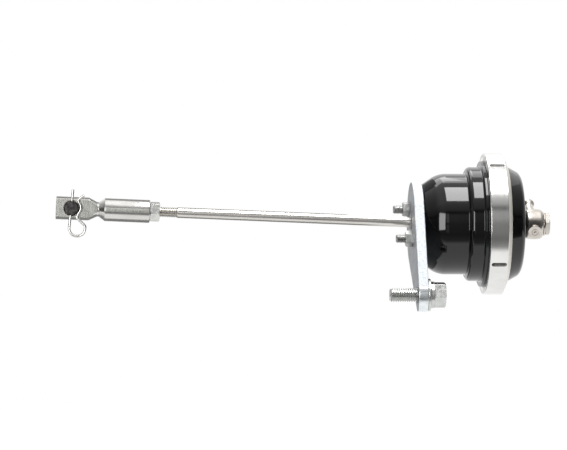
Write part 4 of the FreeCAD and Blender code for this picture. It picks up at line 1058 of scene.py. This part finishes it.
milled_flat = finish("milled_tongue", (0.38, 0.385, 0.355), 0.30, 1.0)
shades(
    milled_flat, (1300, 300, 160), (0.33, 0.335, 0.305), (0.42, 0.425, 0.395), detail=3.0,
)
sheen(milled_flat, (1500, 400, 200), 0.24, 0.34)

end_bar = placed_piece("end_bar", turned([
    (TONGUE_END_X, 0),
    (TONGUE_END_X, BAR_RADIUS, 0.35),
    (TONGUE_X - TONGUE_CROWN, BAR_RADIUS, 3.0),
    (TONGUE_X, NECK_RADIUS, 0.2),
    (BAR_END_X - BAR_TAPER, NECK_RADIUS, 0.3),
    (BAR_END_X, BAR_RADIUS, 0.5),
    (ROD_END_X, BAR_RADIUS, 0.6),
    (ROD_END_X, THREADED_HOLE, 0.2),
    (ROD_END_X - 21.0, THREADED_HOLE),
    (ROD_END_X - 22.5, 0),
], 96, closed=False), rod_place, [turned_steel])
for side in (1, -1):
    block_form = bmesh.new()
    bmesh.ops.create_cube(block_form, size=1)
    bmesh.ops.scale(
        block_form, vec=(CUTTER_LENGTH * mm, CUTTER_HEIGHT * mm, 15 * mm),
        verts=block_form.verts,
    )
    bmesh.ops.translate(
        block_form, verts=block_form.verts,
        vec=(
            (TONGUE_X - CUTTER_LENGTH / 2) * mm,
            side * (TONGUE_HALF + CUTTER_HEIGHT / 2) * mm, 0,
        ),
    )
    cut_by(end_bar, placed_piece("flat_cutter", block_form, rod_place, [turned_steel]))
eye_place = (
    rod_place @ Matrix.Translation((PIN_X * mm, 0, 0))
    @ Matrix.Rotation(math.radians(90), 4, "Z")
)
eye_form = turned([
    (-8, 0),
    (-8, 4.6),
    (-TONGUE_HALF - 0.01, EYE_RIM_RADIUS),
    (-TONGUE_HALF + 0.35, EYE_RADIUS),
    (TONGUE_HALF - 0.35, EYE_RADIUS),
    (TONGUE_HALF + 0.01, EYE_RIM_RADIUS),
    (8, 4.6),
    (8, 0),
], 64, closed=False)
cut_by(end_bar, placed_piece("eye", eye_form, eye_place, [turned_steel]))
end_bar.data.materials.append(milled_flat)
for face in end_bar.data.polygons:
    is_flat = abs(face.normal.y) > 0.99 and face.area > 2 * mm * mm
    face.material_index = 1 if is_flat else 0
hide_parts("rod_end")
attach(end_bar, "rod_end")

# The lever's pin is a hardened steel pin, oxidised nearly black, with a collar behind the eye
# and a spigot to rivet it by. A cross hole through its front end takes the spring clip.
PIN_RADIUS = 4.0
PIN_FRONT = 8.0
PIN_COLLAR_RADIUS = 5.5
PIN_COLLAR_START = 4.5
PIN_COLLAR_END = 6.5
SPIGOT_RADIUS = 3.0
SPIGOT_END = 12.5
LEG_HOLE_RADIUS = 0.9
CLIP_Y = -5.55
CLIP_LEAN = math.radians(3.5)

dark_steel = finish("oxidised_pin_steel", (0.05, 0.047, 0.045), 0.40, 1.0)
shades(
    dark_steel, 420, (0.018, 0.018, 0.019), (0.085, 0.078, 0.072), reach=(0.32, 0.68),
    middle=(0.5, (0.042, 0.041, 0.041)), detail=4.0,
)
sheen(dark_steel, 1200, 0.30, 0.60, detail=3.0)
relief(dark_steel, 1700, 0.012, 0.7, detail=3.0)

pivot_pin = placed_piece("pivot_pin", turned([
    (-PIN_FRONT, 0),
    (-PIN_FRONT, PIN_RADIUS, 0.5),
    (PIN_COLLAR_START, PIN_RADIUS),
    (PIN_COLLAR_START, PIN_COLLAR_RADIUS, 0.3),
    (PIN_COLLAR_END, PIN_COLLAR_RADIUS, 0.3),
    (PIN_COLLAR_END, SPIGOT_RADIUS),
    (SPIGOT_END, SPIGOT_RADIUS, 0.4),
    (SPIGOT_END, 0),
], 80, closed=False), eye_place, [dark_steel])
clip_place = (
    rod_place @ Matrix.Translation((PIN_X * mm, CLIP_Y * mm, 0))
    @ Matrix.Rotation(CLIP_LEAN, 4, "Y")
)
leg_hole = bmesh.new()
bmesh.ops.create_cone(
    leg_hole, cap_ends=True, segments=32, radius1=LEG_HOLE_RADIUS * mm,
    radius2=LEG_HOLE_RADIUS * mm, depth=12 * mm,
)
cut_by(pivot_pin, placed_piece("leg_hole", leg_hole, clip_place, [dark_steel]))
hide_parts("lever_pin")
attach(pivot_pin, "lever_pin")

# The retaining clip is one length of bright spring wire. Its straight leg goes through the
# pin, it loops under the tongue, and the bent leg springs shut round the pin.
WIRE_RADIUS = 0.75
CLIP_ROUTE = [
    (0, 10.6), (0, -15.2, 4.2), (8.9, -15.2, 4.2), (8.9, -9.0, 2.2), (3.2, -4.8, 2.0),
    (6.2, 1.6, 3.4), (2.7, 4.6, 1.6), (6.6, 8.0),
]

bright_wire = finish("bright_spring_wire", (0.66, 0.65, 0.63), 0.22, 1.0)
shades(bright_wire, 500, (0.56, 0.55, 0.53), (0.72, 0.71, 0.69))
sheen(bright_wire, 300, 0.20, 0.30, detail=3.0)

clip_form = rounded_wire(CLIP_ROUTE, closed=False, segments=12)
clip_line = bpy.data.meshes.new("clip_line")
clip_form.to_mesh(clip_line)
clip_form.free()
clip_holder = bpy.data.objects.new("clip_line", clip_line)
bpy.context.scene.collection.objects.link(clip_holder)
with bpy.context.temp_override(
    active_object=clip_holder, object=clip_holder, selected_objects=[clip_holder],
    selected_editable_objects=[clip_holder],
):
    bpy.context.view_layer.objects.active = clip_holder
    bpy.ops.object.convert(target="CURVE")
clip_holder.data.bevel_depth = WIRE_RADIUS * mm
clip_holder.data.bevel_resolution = 6
clip_holder.data.use_fill_caps = True
bpy.context.view_layer.update()
bent_wire = clip_holder.evaluated_get(bpy.context.evaluated_depsgraph_get())
clip_solid = bmesh.new()
clip_solid.from_mesh(bpy.data.meshes.new_from_object(bent_wire))
bpy.data.objects.remove(clip_holder)
bmesh.ops.remove_doubles(clip_solid, verts=clip_solid.verts, dist=0.001 * mm)
bmesh.ops.recalc_face_normals(clip_solid, faces=clip_solid.faces)
spring_clip = placed_piece("spring_clip", clip_solid, clip_place, [bright_wire])
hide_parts("retaining_clip")
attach(spring_clip, "lever_pin")
